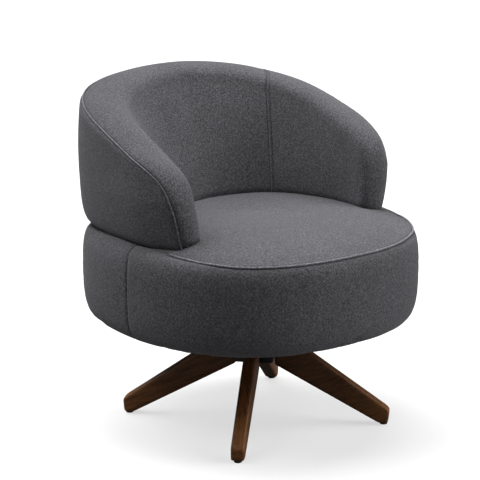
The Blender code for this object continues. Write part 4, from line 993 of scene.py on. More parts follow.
def finished_group(group, given, geometry, smooth):
    """Ends a group with real geometry in its material."""
    whole = node(group, "GeometryNodeRealizeInstances", {0: geometry}).outputs[0]
    if smooth:
        whole = node(group, "GeometryNodeSetShadeSmooth", {0: whole}).outputs[0]
    painted = node(group, "GeometryNodeSetMaterial", {"Geometry": whole, "Material": given["Material"]})
    node(group, "NodeGroupOutput", {0: painted.outputs[0]})
    return group


def evenly(group, given, length):
    """The line that a group is given, as a curve with points a length apart."""
    line = node(group, "GeometryNodeMeshToCurve", {0: given["Geometry"]}).outputs[0]
    return node(group, "GeometryNodeResampleCurve", {"Curve": line, "Length": length},
                mode="LENGTH").outputs[0]


def laid_along(group, given, thing, size, slant=0.0):
    """Copies of a thing a pitch apart along the line, each turned aside by up to a slant."""
    points = node(group, "GeometryNodeCurveToPoints", {"Curve": evenly(group, given, given["Pitch"])},
                  mode="EVALUATED").outputs
    turn = node(group, "FunctionNodeAlignRotationToVector", {"Vector": points["Tangent"]}, axis="Z")
    if slant:
        angle = node(group, "FunctionNodeRandomValue", {2: -slant, 3: slant}, data_type="FLOAT").outputs[1]
        spin = node(group, "ShaderNodeCombineXYZ", {2: angle}).outputs[0]
        turn = node(group, "FunctionNodeRotateRotation", {0: turn.outputs[0], 1: spin},
                    rotation_space="GLOBAL")
    scale = node(group, "ShaderNodeCombineXYZ", dict(enumerate(size))).outputs[0]
    return node(group, "GeometryNodeInstanceOnPoints", {
        "Points": points["Points"], "Instance": thing.outputs["Mesh"],
        "Rotation": turn.outputs[0], "Scale": scale}).outputs[0]


def welt_group():
    """A sewn ridge: a round profile swept along the seam's line, a little uneven like gathered cloth."""
    group, given = node_group("seam_welt", ("Radius", "Unevenness"))
    ring = node(group, "GeometryNodeCurvePrimitiveCircle", {"Resolution": 10, "Radius": given["Radius"]},
                mode="RADIUS")
    tube = node(group, "GeometryNodeCurveToMesh", {
        "Curve": evenly(group, given, WELT_PITCH), "Profile Curve": ring.outputs[0], "Fill Caps": True})
    place = node(group, "GeometryNodeInputPosition").outputs[0]
    bumps = node(group, "ShaderNodeTexNoise", {"Vector": place, "Scale": WELT_WAVES, "Detail": 1.0})
    height = maths(group, "SUBTRACT", bumps.outputs["Fac"], 0.5)
    height = maths(group, "MULTIPLY", height, given["Unevenness"])
    normal = node(group, "GeometryNodeInputNormal").outputs[0]
    move = node(group, "ShaderNodeVectorMath", {0: normal, "Scale": height}, operation="SCALE").outputs[0]
    moved = node(group, "GeometryNodeSetPosition", {"Geometry": tube.outputs[0], "Offset": move})
    return finished_group(group, given, moved.outputs[0], True)


def stitch_group():
    """A row of thread stitches laid along the seam's line."""
    group, given = node_group("seam_stitches", ("Pitch", "Thread"))
    thread = node(group, "GeometryNodeMeshUVSphere", {"Segments": 8, "Rings": 6, "Radius": 1.0})
    size = (given["Thread"], given["Thread"], maths(group, "MULTIPLY", given["Pitch"], THREAD_SHARE))
    return finished_group(group, given, laid_along(group, given, thread, size), True)


def staple_group():
    """Wire staples along a line, each at a slight slant to it."""
    group, given = node_group("staples", ("Pitch", "Width", "Wire"))
    wire = node(group, "GeometryNodeMeshCylinder", {"Vertices": 10, "Radius": 0.5, "Depth": 1.0})
    size = (given["Wire"], given["Wire"], given["Width"])
    return finished_group(group, given, laid_along(group, given, wire, size, STAPLE_SLANT), False)


GROUPS = {"seam_welt": welt_group, "seam_stitches": stitch_group, "staples": staple_group}


def along_line(name, lines, group_name, values, finish, body):
    """A piece that a node group makes along lines of points, as a plain mesh on a body."""
    points, edges = [], []
    for line, closed in lines:
        start = len(points)
        points += list(line)
        edges += [(start + index, start + index + 1) for index in range(len(line) - 1)]
        if closed:
            edges.append((len(points) - 1, start))
    piece = linked(name, plain_mesh(name, points, [], edges))
    laid = piece.modifiers.new("laid along the line", "NODES")
    laid.node_group = group = bpy.data.node_groups.get(group_name) or GROUPS[group_name]()
    sockets = {item.name: item.identifier for item in group.interface.items_tree if item.in_out == "INPUT"}
    for label, value in {**values, "Material": material(finish)}.items():
        laid[sockets[label]] = value
    baked(piece)
    if not piece.data.polygons:
        raise RuntimeError("nothing was laid along the line of " + name)
    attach(piece, body)
    return piece


# What the pieces share once they are made: the lines of their seams
SEAMS = {}


# The seat

def seam_drop(angles):
    """How far down the seat's side the top seam runs at each angle, or up its crown where less than 0."""
    turned = np.degrees(angles)
    left = (turned > 0) * smoothly(turned, LEFT_DROP_ANGLES, LEFT_DROPS)
    return smoothly(turned, SEAM_DROP_ANGLES, SEAM_DROPS) + left


def from_rear(points):
    """The angle from the rear to each point round the back's centre, either way, in degrees."""
    return np.degrees(np.arctan2(np.abs(points[..., 0]), points[..., 1] - BACK_CENTRE_Y))


def foot_radius(grid):
    """How far out the back's outer foot stands from the back's centre, in the direction of each point."""
    turn = np.linspace(-math.pi, math.pi, 361)
    reach = [math.hypot(place.x, place.y - BACK_CENTRE_Y)
             for place in (outer_wall(float(angle), BACK_BOTTOM_Z, 0.0) for angle in turn)]
    return np.interp(np.arctan2(grid[:, :, 0], grid[:, :, 1] - BACK_CENTRE_Y), turn, reach)


def seat_grid():
    """The seat's skin from the hem's inner edge over the side, seam and crown, as rows of closed rings."""
    angles, around = seat_angles()
    profile = seat_profile()
    side_steps = spaced(SIDE_LENGTH, SIDE_PITCH, fine_end=True)
    crown_steps = spaced(CROWN_LENGTH, CROWN_PITCH, fine_start=True)[1:]
    shares = np.linspace(1.0, CROWN_MIDDLE, 200)
    heights = SEAT_SEAM_Z + SEAT_CROWN * (1 - shares ** SEAT_CROWN_ROUND)
    shifts = np.radians(np.interp(profile[:, 1], SIDE_SEAM_HEIGHTS, SIDE_SEAM_SHIFTS))
    lines = []
    for angle, drop in zip(angles, seam_drop(angles)):
        near = math.copysign(bell(abs(angle) - abs(SIDE_SEAM_ANGLES[0]), SIDE_SEAM_REACH), angle)
        x, y = seat_plan(angle + near * shifts, profile[:, 0])
        side = np.column_stack([x, y, profile[:, 1]])
        x, y = seat_plan(angle + near * np.radians(SIDE_SEAM_SHIFTS[-1]), SEAT_SEAM_INSET)
        line = np.concatenate([side, np.column_stack([x * shares, y * shares, heights])[1:]])
        seam = line_length(side) - drop
        beyond = seam + crown_steps * (line_length(line) - seam)
        lines.append(resampled(line, np.concatenate([side_steps * seam, beyond])))
    return np.array(lines).transpose(1, 0, 2), len(side_steps) - 1, angles, around


def seat_form(settings):
    """The seat's skin as it lies, its flat map, its painted shade (partly pressed nap), its seam's row,
    angles and normals.
    """
    grid, seam_row, angles, around = seat_grid()
    along = lengths_down(grid)
    from_seam = along - along[seam_row]
    outwards = outward_normals(grid, True, along, seam_row // 2, np.array([0.0, 0.0, SEAT_WIDEST_Z]))
    side_columns = [int(np.argmin(np.abs(angles - seam))) for seam in SIDE_SEAM_ANGLES]
    swell = stuffed("seat_stuffing", grid, True, seam_row, side_columns, settings)
    move = cloth_moves(grid, from_seam, np.clip(along / HEM_HOLD, 0.0, 1.0), 1.0, SEAT_WAVES, 1, settings)
    roll = np.exp(-np.abs(from_seam) / CROWN_ROLL_WIDTH)
    move += np.where(from_seam > 0, CROWN_ROLL * (1 - roll), 0.0) - CROWN_SINK * roll
    beside = np.abs(around - around[side_columns][:, None]).min(axis=0)[None, :]
    on_side = (np.arange(len(grid)) <= seam_row)[:, None]
    under = on_side * np.clip((along - SIDE_SEAM_START) / SIDE_SEAM_RISE, 0.0, 1.0)
    move -= under * settings.seam_depth * bell(beside, SIDE_SEAM_WIDTH)
    foot = np.hypot(grid[:, :, 0], grid[:, :, 1] - BACK_CENTRE_Y) - foot_radius(grid)
    held = np.clip((np.degrees(ARM_END_ANGLE) - from_rear(grid)) / FOOT_PRESS_FADE, 0.0, 1.0)
    held *= np.clip((foot + FOOT_INSIDE) / FOOT_INSIDE_FADE, 0.0, 1.0)
    apart = np.hypot(np.maximum(foot, 0.0), np.maximum(BACK_BOTTOM_Z - grid[:, :, 2], 0.0))
    move -= FOOT_PRESS * held * bell(apart, FOOT_PRESS_WIDTH)
    # Painted shade: lines beside the top and side seams, partly pressed nap, and painted shadow in the crease
    # along the back's outer foot.
    pressed_and_shade = SEAM_SHADE * beside_seam_lines(from_seam, SEAT_SHADE_OFFSET)
    pressed_and_shade *= np.where(from_seam < 0, 1.0, CROWN_SHADE)
    pressed_and_shade = np.maximum(pressed_and_shade, SEAM_SHADE * under * bell(beside, SIDE_SHADE_WIDTH))
    pressed_and_shade = np.maximum(pressed_and_shade, held * bell(apart, CREASE_SHADE_WIDTH))
    grid = grid + swell + outwards * move[:, :, None]
    flat_map = np.dstack([np.where(on_side, around[None, :], grid[:, :, 0]),
                          np.where(on_side, along, grid[:, :, 1])])
    return grid, flat_map, pressed_and_shade, seam_row, angles, outwards


def build_seat(settings):
    """The seat cushion as one closed form: cloth skin, hem, foam band and pad round the wooden frame."""
    grid, flat_map, pressed_and_shade, seam_row, angles, outwards = seat_form(settings)
    columns = grid.shape[1]
    hem_top = SEAT_BOTTOM_Z + COVER_THICKNESS
    wall = FRAME_INSET - GAP
    inner = [(SEAT_UNDER_INSET + COVER_TURN_IN, hem_top, 1.0)]
    inner += [(wall, height, 1.0) for height in np.linspace(hem_top, PAD_BOTTOM_Z, 8)]
    inner += [(wall, PAD_BOTTOM_Z, share) for share in (0.75, 0.5, 0.25)]
    rings = []
    for inset, height, share in inner[::-1]:
        x, y = seat_plan(angles, inset)
        rings.append(np.column_stack([x * share, y * share, np.full_like(x, height)]))
    rings = np.concatenate([np.array(rings), grid])
    points = rings.reshape(-1, 3).tolist()
    faces = grid_faces(len(rings), columns, closed=True)
    low, high = len(points), len(points) + 1
    top = grid[-1].mean(axis=0)
    points += [(0.0, 0.0, PAD_BOTTOM_Z), tuple(top)]
    last = (len(rings) - 1) * columns
    for column in range(columns):
        after = (column + 1) % columns
        faces += [(column, after, low), (last + column, last + after, high)]
    plain = len(inner) * columns
    flat = np.concatenate([np.zeros((plain, 2)), flat_map.reshape(-1, 2), [(0.0, 0.0), top[:2]]])
    pressed_and_shade = np.concatenate([np.zeros(plain), pressed_and_shade.ravel(), [0.0, 0.0]])
    seat = new_piece("seat_cushion", points, faces, "charcoal_cloth", flat, 50.0, pressed_and_shade)
    line = grid[seam_row] + outwards[seam_row] * (settings.seam_depth * SEAT_WELT_LIFT)
    SEAMS["seat_top"] = line[np.abs(angles) < SEAM_HIDDEN_ANGLE]
    SEAMS["seat_skin"] = grid.reshape(-1, 3)
    return seat


# The back

def round_the_back(outside, over):
    """How far round the back each column of its two panels stands."""
    return summed(0.5 * step_lengths(over).mean(axis=1) + 0.5 * step_lengths(outside[:, -1]))


def back_grid():
    """The back's skin up the outside and over the rim to the seat, as rows by columns of points."""
    outside, over = back_skin()
    knots = round_the_back(outside, over)
    side = np.concatenate([-RIM_S[::-1], RIM_S[1:]]) / RIM_RADIUS
    inside_seam = float(np.interp(INSIDE_SEAM_ANGLE, side, knots))
    wanted = list(np.linspace(0.0, knots[-1], int(knots[-1] / BACK_COLUMN_LENGTH) + 1))
    wanted = np.array(sorted(crowded(wanted, inside_seam)))
    outside, over = spline(knots, outside, wanted), spline(knots, over, wanted)
    for panel, foot in ((outside, 0), (over, -1)):
        panel[:, :, 2] = np.maximum(panel[:, :, 2], BACK_BOTTOM_Z)
        panel[:, foot, 2] = BACK_BOTTOM_Z
    wall_steps = spaced(WALL_LENGTH, WALL_PITCH, fine_end=True)
    over_steps = spaced(OVER_LENGTH, OVER_PITCH, fine_start=True)
    walls, overs = [], []
    for wall, line in zip(outside, over):
        line = softened(line, RIM_SOFTENING) if line_length(line) > 5 * RIM_SOFTENING else line
        whole = np.concatenate([wall, line[1:]])
        room = min(1.0, line_length(wall) / WALL_ROOM, line_length(line) / OVER_ROOM)
        shift = smoothly(float(from_rear(wall[-1])), RIM_SEAM_ANGLES, RIM_SEAM_SHIFTS, 2.0)
        seam = line_length(wall) + room * shift
        if seam > 1e-5:
            whole = softened(whole, SKIN_SOFTENING) if line_length(whole) > 15 * SKIN_SOFTENING else whole
            seam *= line_length(whole) / (line_length(wall) + line_length(line))
            walls.append(resampled(whole, wall_steps * seam))
        else:
            walls.append(np.repeat(wall[-1:], len(wall_steps), axis=0))
        overs.append(resampled(whole, seam + over_steps * (line_length(whole) - seam)))
    walls, overs = (np.array(panel).transpose(1, 0, 2) for panel in (walls, overs))
    walls[0, :, 2] = overs[-1, :, 2] = BACK_BOTTOM_Z
    grid = filled_out(np.concatenate([walls, overs[1:]]), len(walls) - 1)
    return grid, len(walls) - 1, wanted, int(np.argmin(np.abs(wanted - inside_seam)))


def filled_out(grid, seam_row):
    """The back's form with its crest and the tops of its sides filled out by the stuffing."""
    height = grid[:, :, 2]
    wall = height.max(axis=0) - BACK_BOTTOM_Z
    rise = np.clip((height - BACK_BOTTOM_Z) / np.maximum(wall, 1e-6), 0.0, 1.0)
    crest = np.clip((rise - CREST_START) / (1 - CREST_START), 0.0, 1.0) * np.clip(wall / CREST_WALL, 0.0, 1.0)
    turn = from_rear(grid[seam_row])
    along = lengths_down(grid)
    past_seam = along - along[seam_row]
    lean = np.interp(height, ARM_OUT_HEIGHTS, ARM_OUT) * smoothly(turn, ARM_OUT_ANGLES, ARM_OUT_SHARES)
    lean += (np.interp(height, SHELL_OUT_HEIGHTS, SHELL_OUT)
             * smoothly(turn, SHELL_OUT_ANGLES, SHELL_OUT_SHARES))
    lean *= np.clip(1 - past_seam / OUT_FADE, 0.0, 1.0)
    narrow = smoothly(turn, ARM_NARROW_ANGLES, ARM_NARROW)
    narrow = narrow * np.clip(past_seam / ARM_NARROW_REACH, 0.0, 1.0)
    away = grid[:, :, :2] - np.array([0.0, BACK_CENTRE_Y])
    radial = away / np.linalg.norm(away, axis=2, keepdims=True)
    rearwards = np.dstack([-np.sign(radial[:, :, 0]) * radial[:, :, 1], np.abs(radial[:, :, 0])])
    made = grid.copy()
    made[:, :, 2] += smoothly(turn, CREST_ANGLES, CREST_LIFTS, 6.0) * crest * crest * (3 - 2 * crest)
    made[:, :, :2] += radial * lean[:, :, None]
    made[:, :, :2] += (ARM_NARROW_OUT * radial + ARM_NARROW_BACK * rearwards) * narrow[:, :, None]
    return made


def touching(grid, skin):
    """1 where a grid of points meets another skin, falling to 0 away from it."""
    near = skin[skin[:, 2] > SEAT_WIDEST_Z]
    tree = kdtree.KDTree(len(near))
    for number, point in enumerate(near):
        tree.insert(point, number)
    tree.balance()
    met = np.zeros(grid.shape[:2])
    for row, column in zip(*np.nonzero(grid[:, :, 2] < SEAT_SEAM_Z + SEAT_CROWN + CREASE_ROOM)):
        met[row, column] = bell(tree.find(grid[row, column])[2], CREASE_SHADE_WIDTH)
    return met


def back_form(settings):
    """The back's skin as it lies, its flat map, its painted shade (partly pressed nap), its seams' places and
    its normals.
    """
    grid, seam_row, wanted, seam_column = back_grid()
    along = lengths_down(grid)
    from_seam = along - along[seam_row]
    inside = np.array([0.0, BACK_CENTRE_Y, (BACK_BOTTOM_Z + BACK_TOP_Z) / 2])
    outwards = outward_normals(grid, False, along, seam_row // 2, inside)
    swell = stuffed("back_stuffing", grid, False, seam_row, [], settings)
    rising = np.clip((grid[:, :, 2] - BACK_BOTTOM_Z) / FOOT_HOLD, 0.0, 1.0)
    move = cloth_moves(grid, from_seam, rising, rising, BACK_WAVES, 4, settings)
    pull = np.where(from_seam < 0, np.exp(from_seam / ARM_SEAM_PULL_WIDTH),
                    np.exp(-from_seam / RIM_SEAM_PULL_WIDTH))
    pull *= np.clip((from_rear(grid) - ARM_SEAM_PULL_START) / ARM_SEAM_PULL_TURN, 0.0, 1.0)
    move -= ARM_SEAM_PULL * rising * pull
    on_rim = (np.arange(len(grid)) >= seam_row)[:, None]
    ends = on_rim * np.clip(from_seam / FELLED_START, 0.0, 1.0)
    run = lengths_down(grid.transpose(1, 0, 2)).T
    beside = run - run[:, seam_column:seam_column + 1]
    move += ends * felled_seam(beside, settings.seam_depth)
    move -= ends * FELLED_HOLLOW * bell(beside, FELLED_HOLLOW_WIDTH)
    move[grid[:, :, 2] <= BACK_BOTTOM_Z + 1e-6] = 0.0
    grid = grid + swell * rising[:, :, None] + outwards * move[:, :, None]
    grid[:, :, 2] = np.maximum(grid[:, :, 2], BACK_BOTTOM_Z)
    # Painted shade beside the rim seam and the felled seam, partly pressed nap, and painted shadow where the
    # back meets the seat.
    pressed_and_shade = SEAM_SHADE * rising * beside_seam_lines(from_seam, BACK_SHADE_OFFSET)
    pressed_and_shade = np.maximum(pressed_and_shade, SEAM_SHADE * ends * beside_seam_lines(beside, FELLED_HALF_WIDTH))
    pressed_and_shade = np.maximum(pressed_and_shade, touching(grid, SEAMS["seat_skin"]))
    flat_map = np.dstack([wanted[None, :] + on_rim * PANEL_MAP_GAP, from_seam])
    return grid, flat_map, pressed_and_shade, seam_row, seam_column, outwards


def build_back(settings, seat):
    """The back as one closed form with a hollow for its frame, and the pocket that it stands in."""
    grid, flat_map, pressed_and_shade, seam_row, seam_column, outwards = back_form(settings)
    rows, columns = grid.shape[:2]
    knots, at = round_the_back(*back_skin()), flat_map[0, :, 0]
    panels = zip(back_skin(BACK_FOAM_OUTER, BACK_FOAM_INNER, BACK_FOAM_RIM), (0, 1), HOLLOW_STEPS)
    hollow = np.array([[np.interp(at, knots, panel[:, row, axis]) for axis in range(3)]
                       for panel, first, step in panels
                       for row in range(first, panel.shape[1], step)]).transpose(0, 2, 1)
    hollow[[0, -1], :, 2] = BACK_BOTTOM_Z
    layers = len(hollow)
    points = np.concatenate([grid.reshape(-1, 3), hollow.reshape(-1, 3)])
    skin = np.arange(rows * columns).reshape(rows, columns)
    lining = rows * columns + np.arange(layers * columns).reshape(layers, columns)
    faces = grid_faces(rows, columns) + grid_faces(layers, columns, start=rows * columns)
    for row in (0, -1):
        faces += strip_faces(skin[row].tolist(), lining[row].tolist())
    for end in (0, -1):
        faces.append(tuple(skin[:, end].tolist() + lining[::-1, end].tolist()))
    flat = np.concatenate([flat_map.reshape(-1, 2), np.zeros((layers * columns, 2))])
    pressed_and_shade = np.concatenate([pressed_and_shade.ravel(), np.zeros(layers * columns)])
    back = new_piece("back_cushion", points, faces, "charcoal_cloth", flat, 50.0, pressed_and_shade)
    SEAMS["back_rim"] = grid[seam_row] + outwards[seam_row] * (settings.seam_depth * BACK_WELT_LIFT)
    sewn = slice(seam_row + THREAD_COLUMNS, rows - THREAD_COLUMNS)
    for column in (seam_column - THREAD_COLUMNS, seam_column + THREAD_COLUMNS):
        SEAMS[f"back_inside_{column}"] = grid[sewn, column] + outwards[sewn, column] * THREAD_LIFT
    grown = grid + outwards * POCKET_GAP
    grown[grid[:, :, 2] <= BACK_BOTTOM_Z + 1e-6, 2] = BACK_BOTTOM_Z - POCKET_GAP
    grown = grown[list(range(0, rows, 2)) + ([rows - 1] if (rows - 1) % 2 else [])]
    skin = np.arange(len(grown) * columns).reshape(len(grown), columns)
    faces = grid_faces(len(grown), columns) + strip_faces(skin[0].tolist(), skin[-1].tolist())
    faces += [tuple(skin[:, end].tolist()) for end in (0, -1)]
    cutters = []
    for number, angle in enumerate(BACK_BOLT_ANGLES):
        x, y = seat_plan(np.array([math.pi - angle]), FRAME_INSET + RING_WIDTH / 2)
        cutters.append(plain_cylinder(f"bolt_way_{number}", (float(x[0]), float(y[0]), BOLT_WAY_Z),
                                      BOLT_WAY_RADIUS, BOLT_WAY_LENGTH))
    take_away(seat, cutters + [new_piece("back_pocket", grown.reshape(-1, 3), faces, "charcoal_cloth")])
    return back


# Operators

class ArmchairOperator:
    bl_options = {"REGISTER", "UNDO"}

    def execute(self, context):
        self.build(context.scene.armchair)
        return {"FINISHED"}


class ARMCHAIR_OT_cushions(ArmchairOperator, bpy.types.Operator):
    """Build the seat cushion and the back that stands in it"""
    bl_idname = "armchair.cushions"
    bl_label = "Cushions"

    def build(self, settings):
        seat = build_seat(settings)
        back = build_back(settings, seat)
        for piece, nodes in ((seat, ("seat_cover", "seat_foam_pad", "seat_foam_band")),
                             (back, ("back_cover", "back_foam"))):
            piece.data.shade_smooth()
            piece.data.set_sharp_from_angle(angle=math.radians(50.0))
            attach(piece, "seat")
            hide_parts(*nodes)


class ARMCHAIR_OT_seams(ArmchairOperator, bpy.types.Operator):
    """Sew the ridges and stitches along the cushions' seams"""
    bl_idname = "armchair.seams"
    bl_label = "Seams"

    def build(self, settings):
        if "seat_top" not in SEAMS:
            raise RuntimeError("build the cushions first")
        for name, line, finish, share in (
                ("seat_top_welt", "seat_top", "seat_welt_highlight_cloth", SEAT_WELT_SHARE),
                ("back_rim_welt", "back_rim", "back_welt_highlight_cloth", BACK_WELT_SHARE)):
            values = {"Radius": settings.welt_radius * share,
                      "Unevenness": settings.welt_radius * WELT_UNEVENNESS}
            along_line(name, [(SEAMS[line], False)], "seam_welt", values, finish, "seat")
        values = {"Pitch": settings.stitch_pitch, "Thread": THREAD_RADIUS}
        inside = [(line, False) for name, line in SEAMS.items() if name.startswith("back_inside")]
        along_line("back_inside_stitches", inside, "seam_stitches", values,
                   "seam_thread", "seat")


def sheet_faces(rows, columns, rims, closed=False):
    """The faces of a sheet's two sides, each a grid of points, and of its edges along rims of the first."""
    second = rows * columns
    faces = [face for start in (0, second) for face in grid_faces(rows, columns, start, closed)]
    for rim in rims:
        faces += strip_faces(rim + rim[:1], [place + second for place in rim + rim[:1]])
    return faces


class ARMCHAIR_OT_underside(ArmchairOperator, bpy.types.Operator):
    """Stretch the webbing over the seat's frame and the lining under it, and staple the lining"""
    bl_idname = "armchair.underside"
    bl_label = "Webbing and lining"

    def build(self, settings):
        self.lining(settings)
        for index in range(2):
            for lengthwise in (True, False):
                self.strap(index, lengthwise)

    def lining(self, settings):
        columns, rows = 120, 15
        angles = np.linspace(0.0, 2 * math.pi, columns, endpoint=False)
        inset = SEAT_UNDER_INSET + DUST_COVER_MARGIN
        outer = np.stack(seat_plan(angles, inset), axis=1)
        turn = np.arctan2(outer[:, 1] - SWIVEL_Y, outer[:, 0])
        opening = DUST_COVER_OPENING * np.stack([np.cos(turn), np.sin(turn)], axis=1) + (0.0, SWIVEL_Y)
        top = SEAT_BOTTOM_Z - GAP
        rings = []
        for row in range(rows):
            share = row / (rows - 1)
            scallop = LINING_SCALLOP * (1 - share) * (1 + np.cos(angles * LINING_SCALLOPS)) * (share > 0)
            sag = (LINING_SAG + scallop) * math.sin(math.pi * share)
            rings.append(np.column_stack([outer * (1 - share) + opening * share, top - sag]))
        upper = np.concatenate(rings)
        points = np.concatenate([upper, upper - (0.0, 0.0, DUST_COVER_THICKNESS)])
        last = (rows - 1) * columns
        faces = sheet_faces(rows, columns, [list(range(columns)), list(range(last, last + columns))], True)
        sheet = new_piece("seat_lining", points, faces, "lining_cloth", points[:, :2], 60.0)
        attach(sheet, "seat")
        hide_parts("dust_cover")
        after = np.roll(outer, -1, axis=0)
        area = 0.5 * abs(np.sum(outer[:, 0] * after[:, 1] - after[:, 0] * outer[:, 1]))
        area -= math.pi * DUST_COVER_OPENING ** 2
        x, y = seat_plan(np.linspace(0.0, 2 * math.pi, 400, endpoint=False), inset + STAPLE_INSET)
        line = np.column_stack([x, y, np.full_like(x, top - DUST_COVER_THICKNESS - STAPLE_DROP)])
        along_line("lining_staples", [(line, True)], "staples",
                   {"Pitch": settings.staple_pitch, "Width": STAPLE_WIDTH, "Wire": STAPLE_WIRE},
                   "zinc_steel", "seat")

    def strap(self, index, lengthwise):
        shift = (index - 0.5) * WEBBING_SPACING
        inset = FRAME_INSET + RING_WIDTH / 2
        edge = abs(shift) + WEBBING_WIDTH / 2
        power = SEAT_SQUARENESS
        if lengthwise:
            share = (1 - (edge / (SEAT_HALF_WIDTH - inset)) ** power) ** (1 / power)
            low, high = -(SEAT_FRONT - inset) * share, (SEAT_REAR - inset) * share
        else:
            reach = SEAT_FRONT if shift < 0 else SEAT_REAR
            share = (1 - (edge / (reach - inset)) ** power) ** (1 / power)
            low, high = -(SEAT_HALF_WIDTH - inset) * share, (SEAT_HALF_WIDTH - inset) * share
        level = RING_TOP_Z + GAP + (0 if lengthwise else WEBBING_THICKNESS + GAP)
        steps, across = 61, 9
        lower = []
        for along in np.linspace(low, high, steps):
            for side in np.linspace(-WEBBING_WIDTH / 2, WEBBING_WIDTH / 2, across):
                x, y = (shift + side, along) if lengthwise else (along, shift + side)
                free_x, free_y = (max(1 - (place / WEBBING_DIP_REACH) ** 2, 0.0) for place in (x, y))
                lower.append((x, y, level - WEBBING_DIP * free_x * free_y))
        points = np.concatenate([lower, np.array(lower) + (0.0, 0.0, WEBBING_THICKNESS)])
        rim = [row * across for row in range(steps)]
        rim += [(steps - 1) * across + step for step in range(1, across)]
        rim += [row * across + across - 1 for row in range(steps - 2, -1, -1)]
        rim += list(range(across - 2, 0, -1))
        faces = sheet_faces(steps, across, [rim])
        label = f"webbing_{'lengthwise' if lengthwise else 'crosswise'}_{index + 1}"
        strap = new_piece("strap_" + label[8:], points, faces, "webbing_cloth", points[:, :2], 40.0)
        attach(strap, "seat")
        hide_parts(label)


NODE_FINISHES = {
    "nylon": ("glide", "ball_cage"),
    "zinc_steel": ("ball_", "lower_race", "upper_race", "leg_bolt", "plate_screw", "back_bolt", "spindle_nut",
                   "swivel_spindle"),
    "black_steel": ("leg_hub", "swivel_lower", "swivel_upper"),
    "plywood": ("seat_board", "seat_top_ring", "seat_post", "back_"),
}


class ARMCHAIR_OT_finishes(ArmchairOperator, bpy.types.Operator):
    """Give the frame, hub, bearing and legs their finishes"""
    bl_idname = "armchair.finishes"
    bl_label = "Frame finishes"

    def build(self, settings):
        for index, name in enumerate(LEG_NAMES):
            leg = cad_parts["leg_" + name]
            turn = LEG_TURN + index * math.pi / 2
            self.paint(leg, wood_material("armchair_walnut_" + name, tuple(settings.wood_colour), turn))
            self.ease(leg)
        for name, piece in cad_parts.items():
            for finish, starts in NODE_FINISHES.items():
                if name.startswith(starts):
                    self.paint(piece, material(finish))
                    break

    def ease(self, piece):
        """Rounds a leg's edges and corners off, as sanding does."""
        for name, kind, values in (
                ("whole", "WELD", {"merge_threshold": 0.00002}),
                ("even skin", "REMESH",
                 {"mode": "VOXEL", "voxel_size": LEG_SKIN_PITCH, "use_smooth_shade": True}),
                ("sanded edges", "SMOOTH", {"factor": 0.5, "iterations": LEG_SANDING})):
            modifier = piece.modifiers.new(name, kind)
            for label, value in values.items():
                setattr(modifier, label, value)

    def paint(self, piece, finish):
        if not piece.material_slots:
            piece.data.materials.append(finish)
        for slot in piece.material_slots:
            slot.material = finish


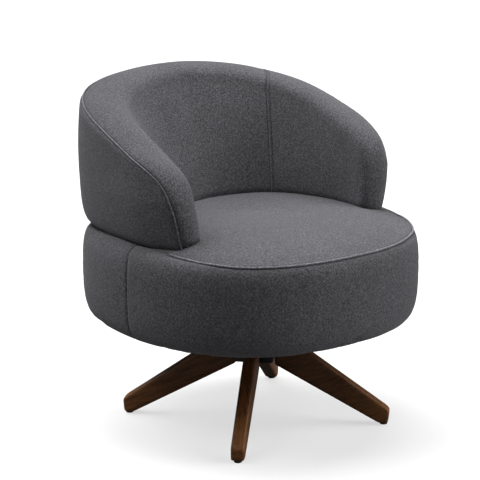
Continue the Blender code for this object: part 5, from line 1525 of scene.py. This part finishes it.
class ARMCHAIR_OT_studio(ArmchairOperator, bpy.types.Operator):
    """Set up the pale floor, the soft lights and the photograph's camera"""
    bl_idname = "armchair.studio"
    bl_label = "Studio"

    def build(self, settings):
        scene = bpy.context.scene
        scene.view_settings.view_transform = "Standard"
        self.floor()
        self.sky(scene)
        for name, height, turn, strength in LIGHTS:
            self.light(name, math.radians(height), math.radians(turn + 180.0 + CAMERA_HEADING), strength)
        lens = bpy.data.cameras.new("photo_camera")
        lens.lens = CAMERA_LENS
        lens.sensor_width = 36.0
        camera = linked("photo_camera", lens)
        camera.location = CAMERA_PLACE
        camera.rotation_euler = (math.radians(90.0 + CAMERA_PITCH), 0.0, math.radians(CAMERA_HEADING))
        scene.camera = camera

    def floor(self):
        made, tree, shader = new_material("studio_floor", {"Roughness": 0.85, "Specular IOR Level": 0.0})
        seen = node(tree, "ShaderNodeLightPath").outputs["Is Camera Ray"]
        colour = mixed(tree, seen, (0.10, 0.10, 0.10, 1.0), (0.93, 0.93, 0.93, 1.0))
        tree.links.new(colour, shader.inputs["Base Color"])
        glow = node(tree, "ShaderNodeEmission", {"Color": (1.0, 1.0, 1.0, 1.0), "Strength": 1.0})
        share = maths(tree, "MULTIPLY", seen, FLOOR_GLOW)
        lit = node(tree, "ShaderNodeMixShader", {0: share, 1: shader.outputs[0], 2: glow.outputs[0]})
        tree.links.new(lit.outputs[0], tree.nodes["Material Output"].inputs["Surface"])
        form = bmesh.new()
        bmesh.ops.create_grid(form, x_segments=8, y_segments=8, size=20.0)
        mesh = bpy.data.meshes.new("studio_floor")
        form.to_mesh(mesh)
        form.free()
        mesh.materials.append(made)
        linked("studio_floor", mesh)

    def sky(self, scene):
        world = bpy.data.worlds.new("studio_sky")
        world.use_nodes = True
        tree = world.node_tree
        tree.nodes.clear()
        seen = node(tree, "ShaderNodeLightPath")
        dim = node(tree, "ShaderNodeBackground", {"Color": (0.95, 0.97, 1.0, 1.0), "Strength": SKY_STRENGTH})
        white = node(tree, "ShaderNodeBackground", {"Color": (1.0, 1.0, 1.0, 1.0), "Strength": 1.0})
        mix = node(tree, "ShaderNodeMixShader", {0: seen.outputs["Is Camera Ray"], 1: dim.outputs[0],
                                                 2: white.outputs[0]})
        node(tree, "ShaderNodeOutputWorld", {"Surface": mix.outputs[0]})
        scene.world = world

    def light(self, name, height, turn, strength):
        lamp = bpy.data.lights.new(name, "SUN")
        lamp.energy = strength
        lamp.angle = LIGHT_ANGLE
        made = linked(name, lamp)
        level = math.cos(height)
        towards = Vector((-math.sin(turn) * level, math.cos(turn) * level, math.sin(height)))
        made.location = towards * LIGHT_DISTANCE
        made.rotation_euler = towards.to_track_quat("Z", "Y").to_euler()


class ARMCHAIR_PT_panel(bpy.types.Panel):
    bl_label = "Swivel armchair"
    bl_idname = "ARMCHAIR_PT_panel"
    bl_space_type = "VIEW_3D"
    bl_region_type = "UI"
    bl_category = "Armchair"

    def draw(self, context):
        settings = context.scene.armchair
        for name in ArmchairSettings.__annotations__:
            self.layout.prop(settings, name)
        for operator in OPERATORS:
            self.layout.operator(operator.bl_idname)


OPERATORS = (ARMCHAIR_OT_cushions, ARMCHAIR_OT_seams, ARMCHAIR_OT_underside, ARMCHAIR_OT_finishes,
             ARMCHAIR_OT_studio)
CLASSES = (ArmchairSettings,) + OPERATORS + (ARMCHAIR_PT_panel,)


def register():
    for item in CLASSES:
        bpy.utils.register_class(item)
    bpy.types.Scene.armchair = PointerProperty(type=ArmchairSettings)


def unregister():
    del bpy.types.Scene.armchair
    for item in reversed(CLASSES):
        bpy.utils.unregister_class(item)


def main():
    register()
    for operator in OPERATORS:
        space, name = operator.bl_idname.split(".")
        getattr(getattr(bpy.ops, space), name)()


if __name__ == "__main__":
    main()
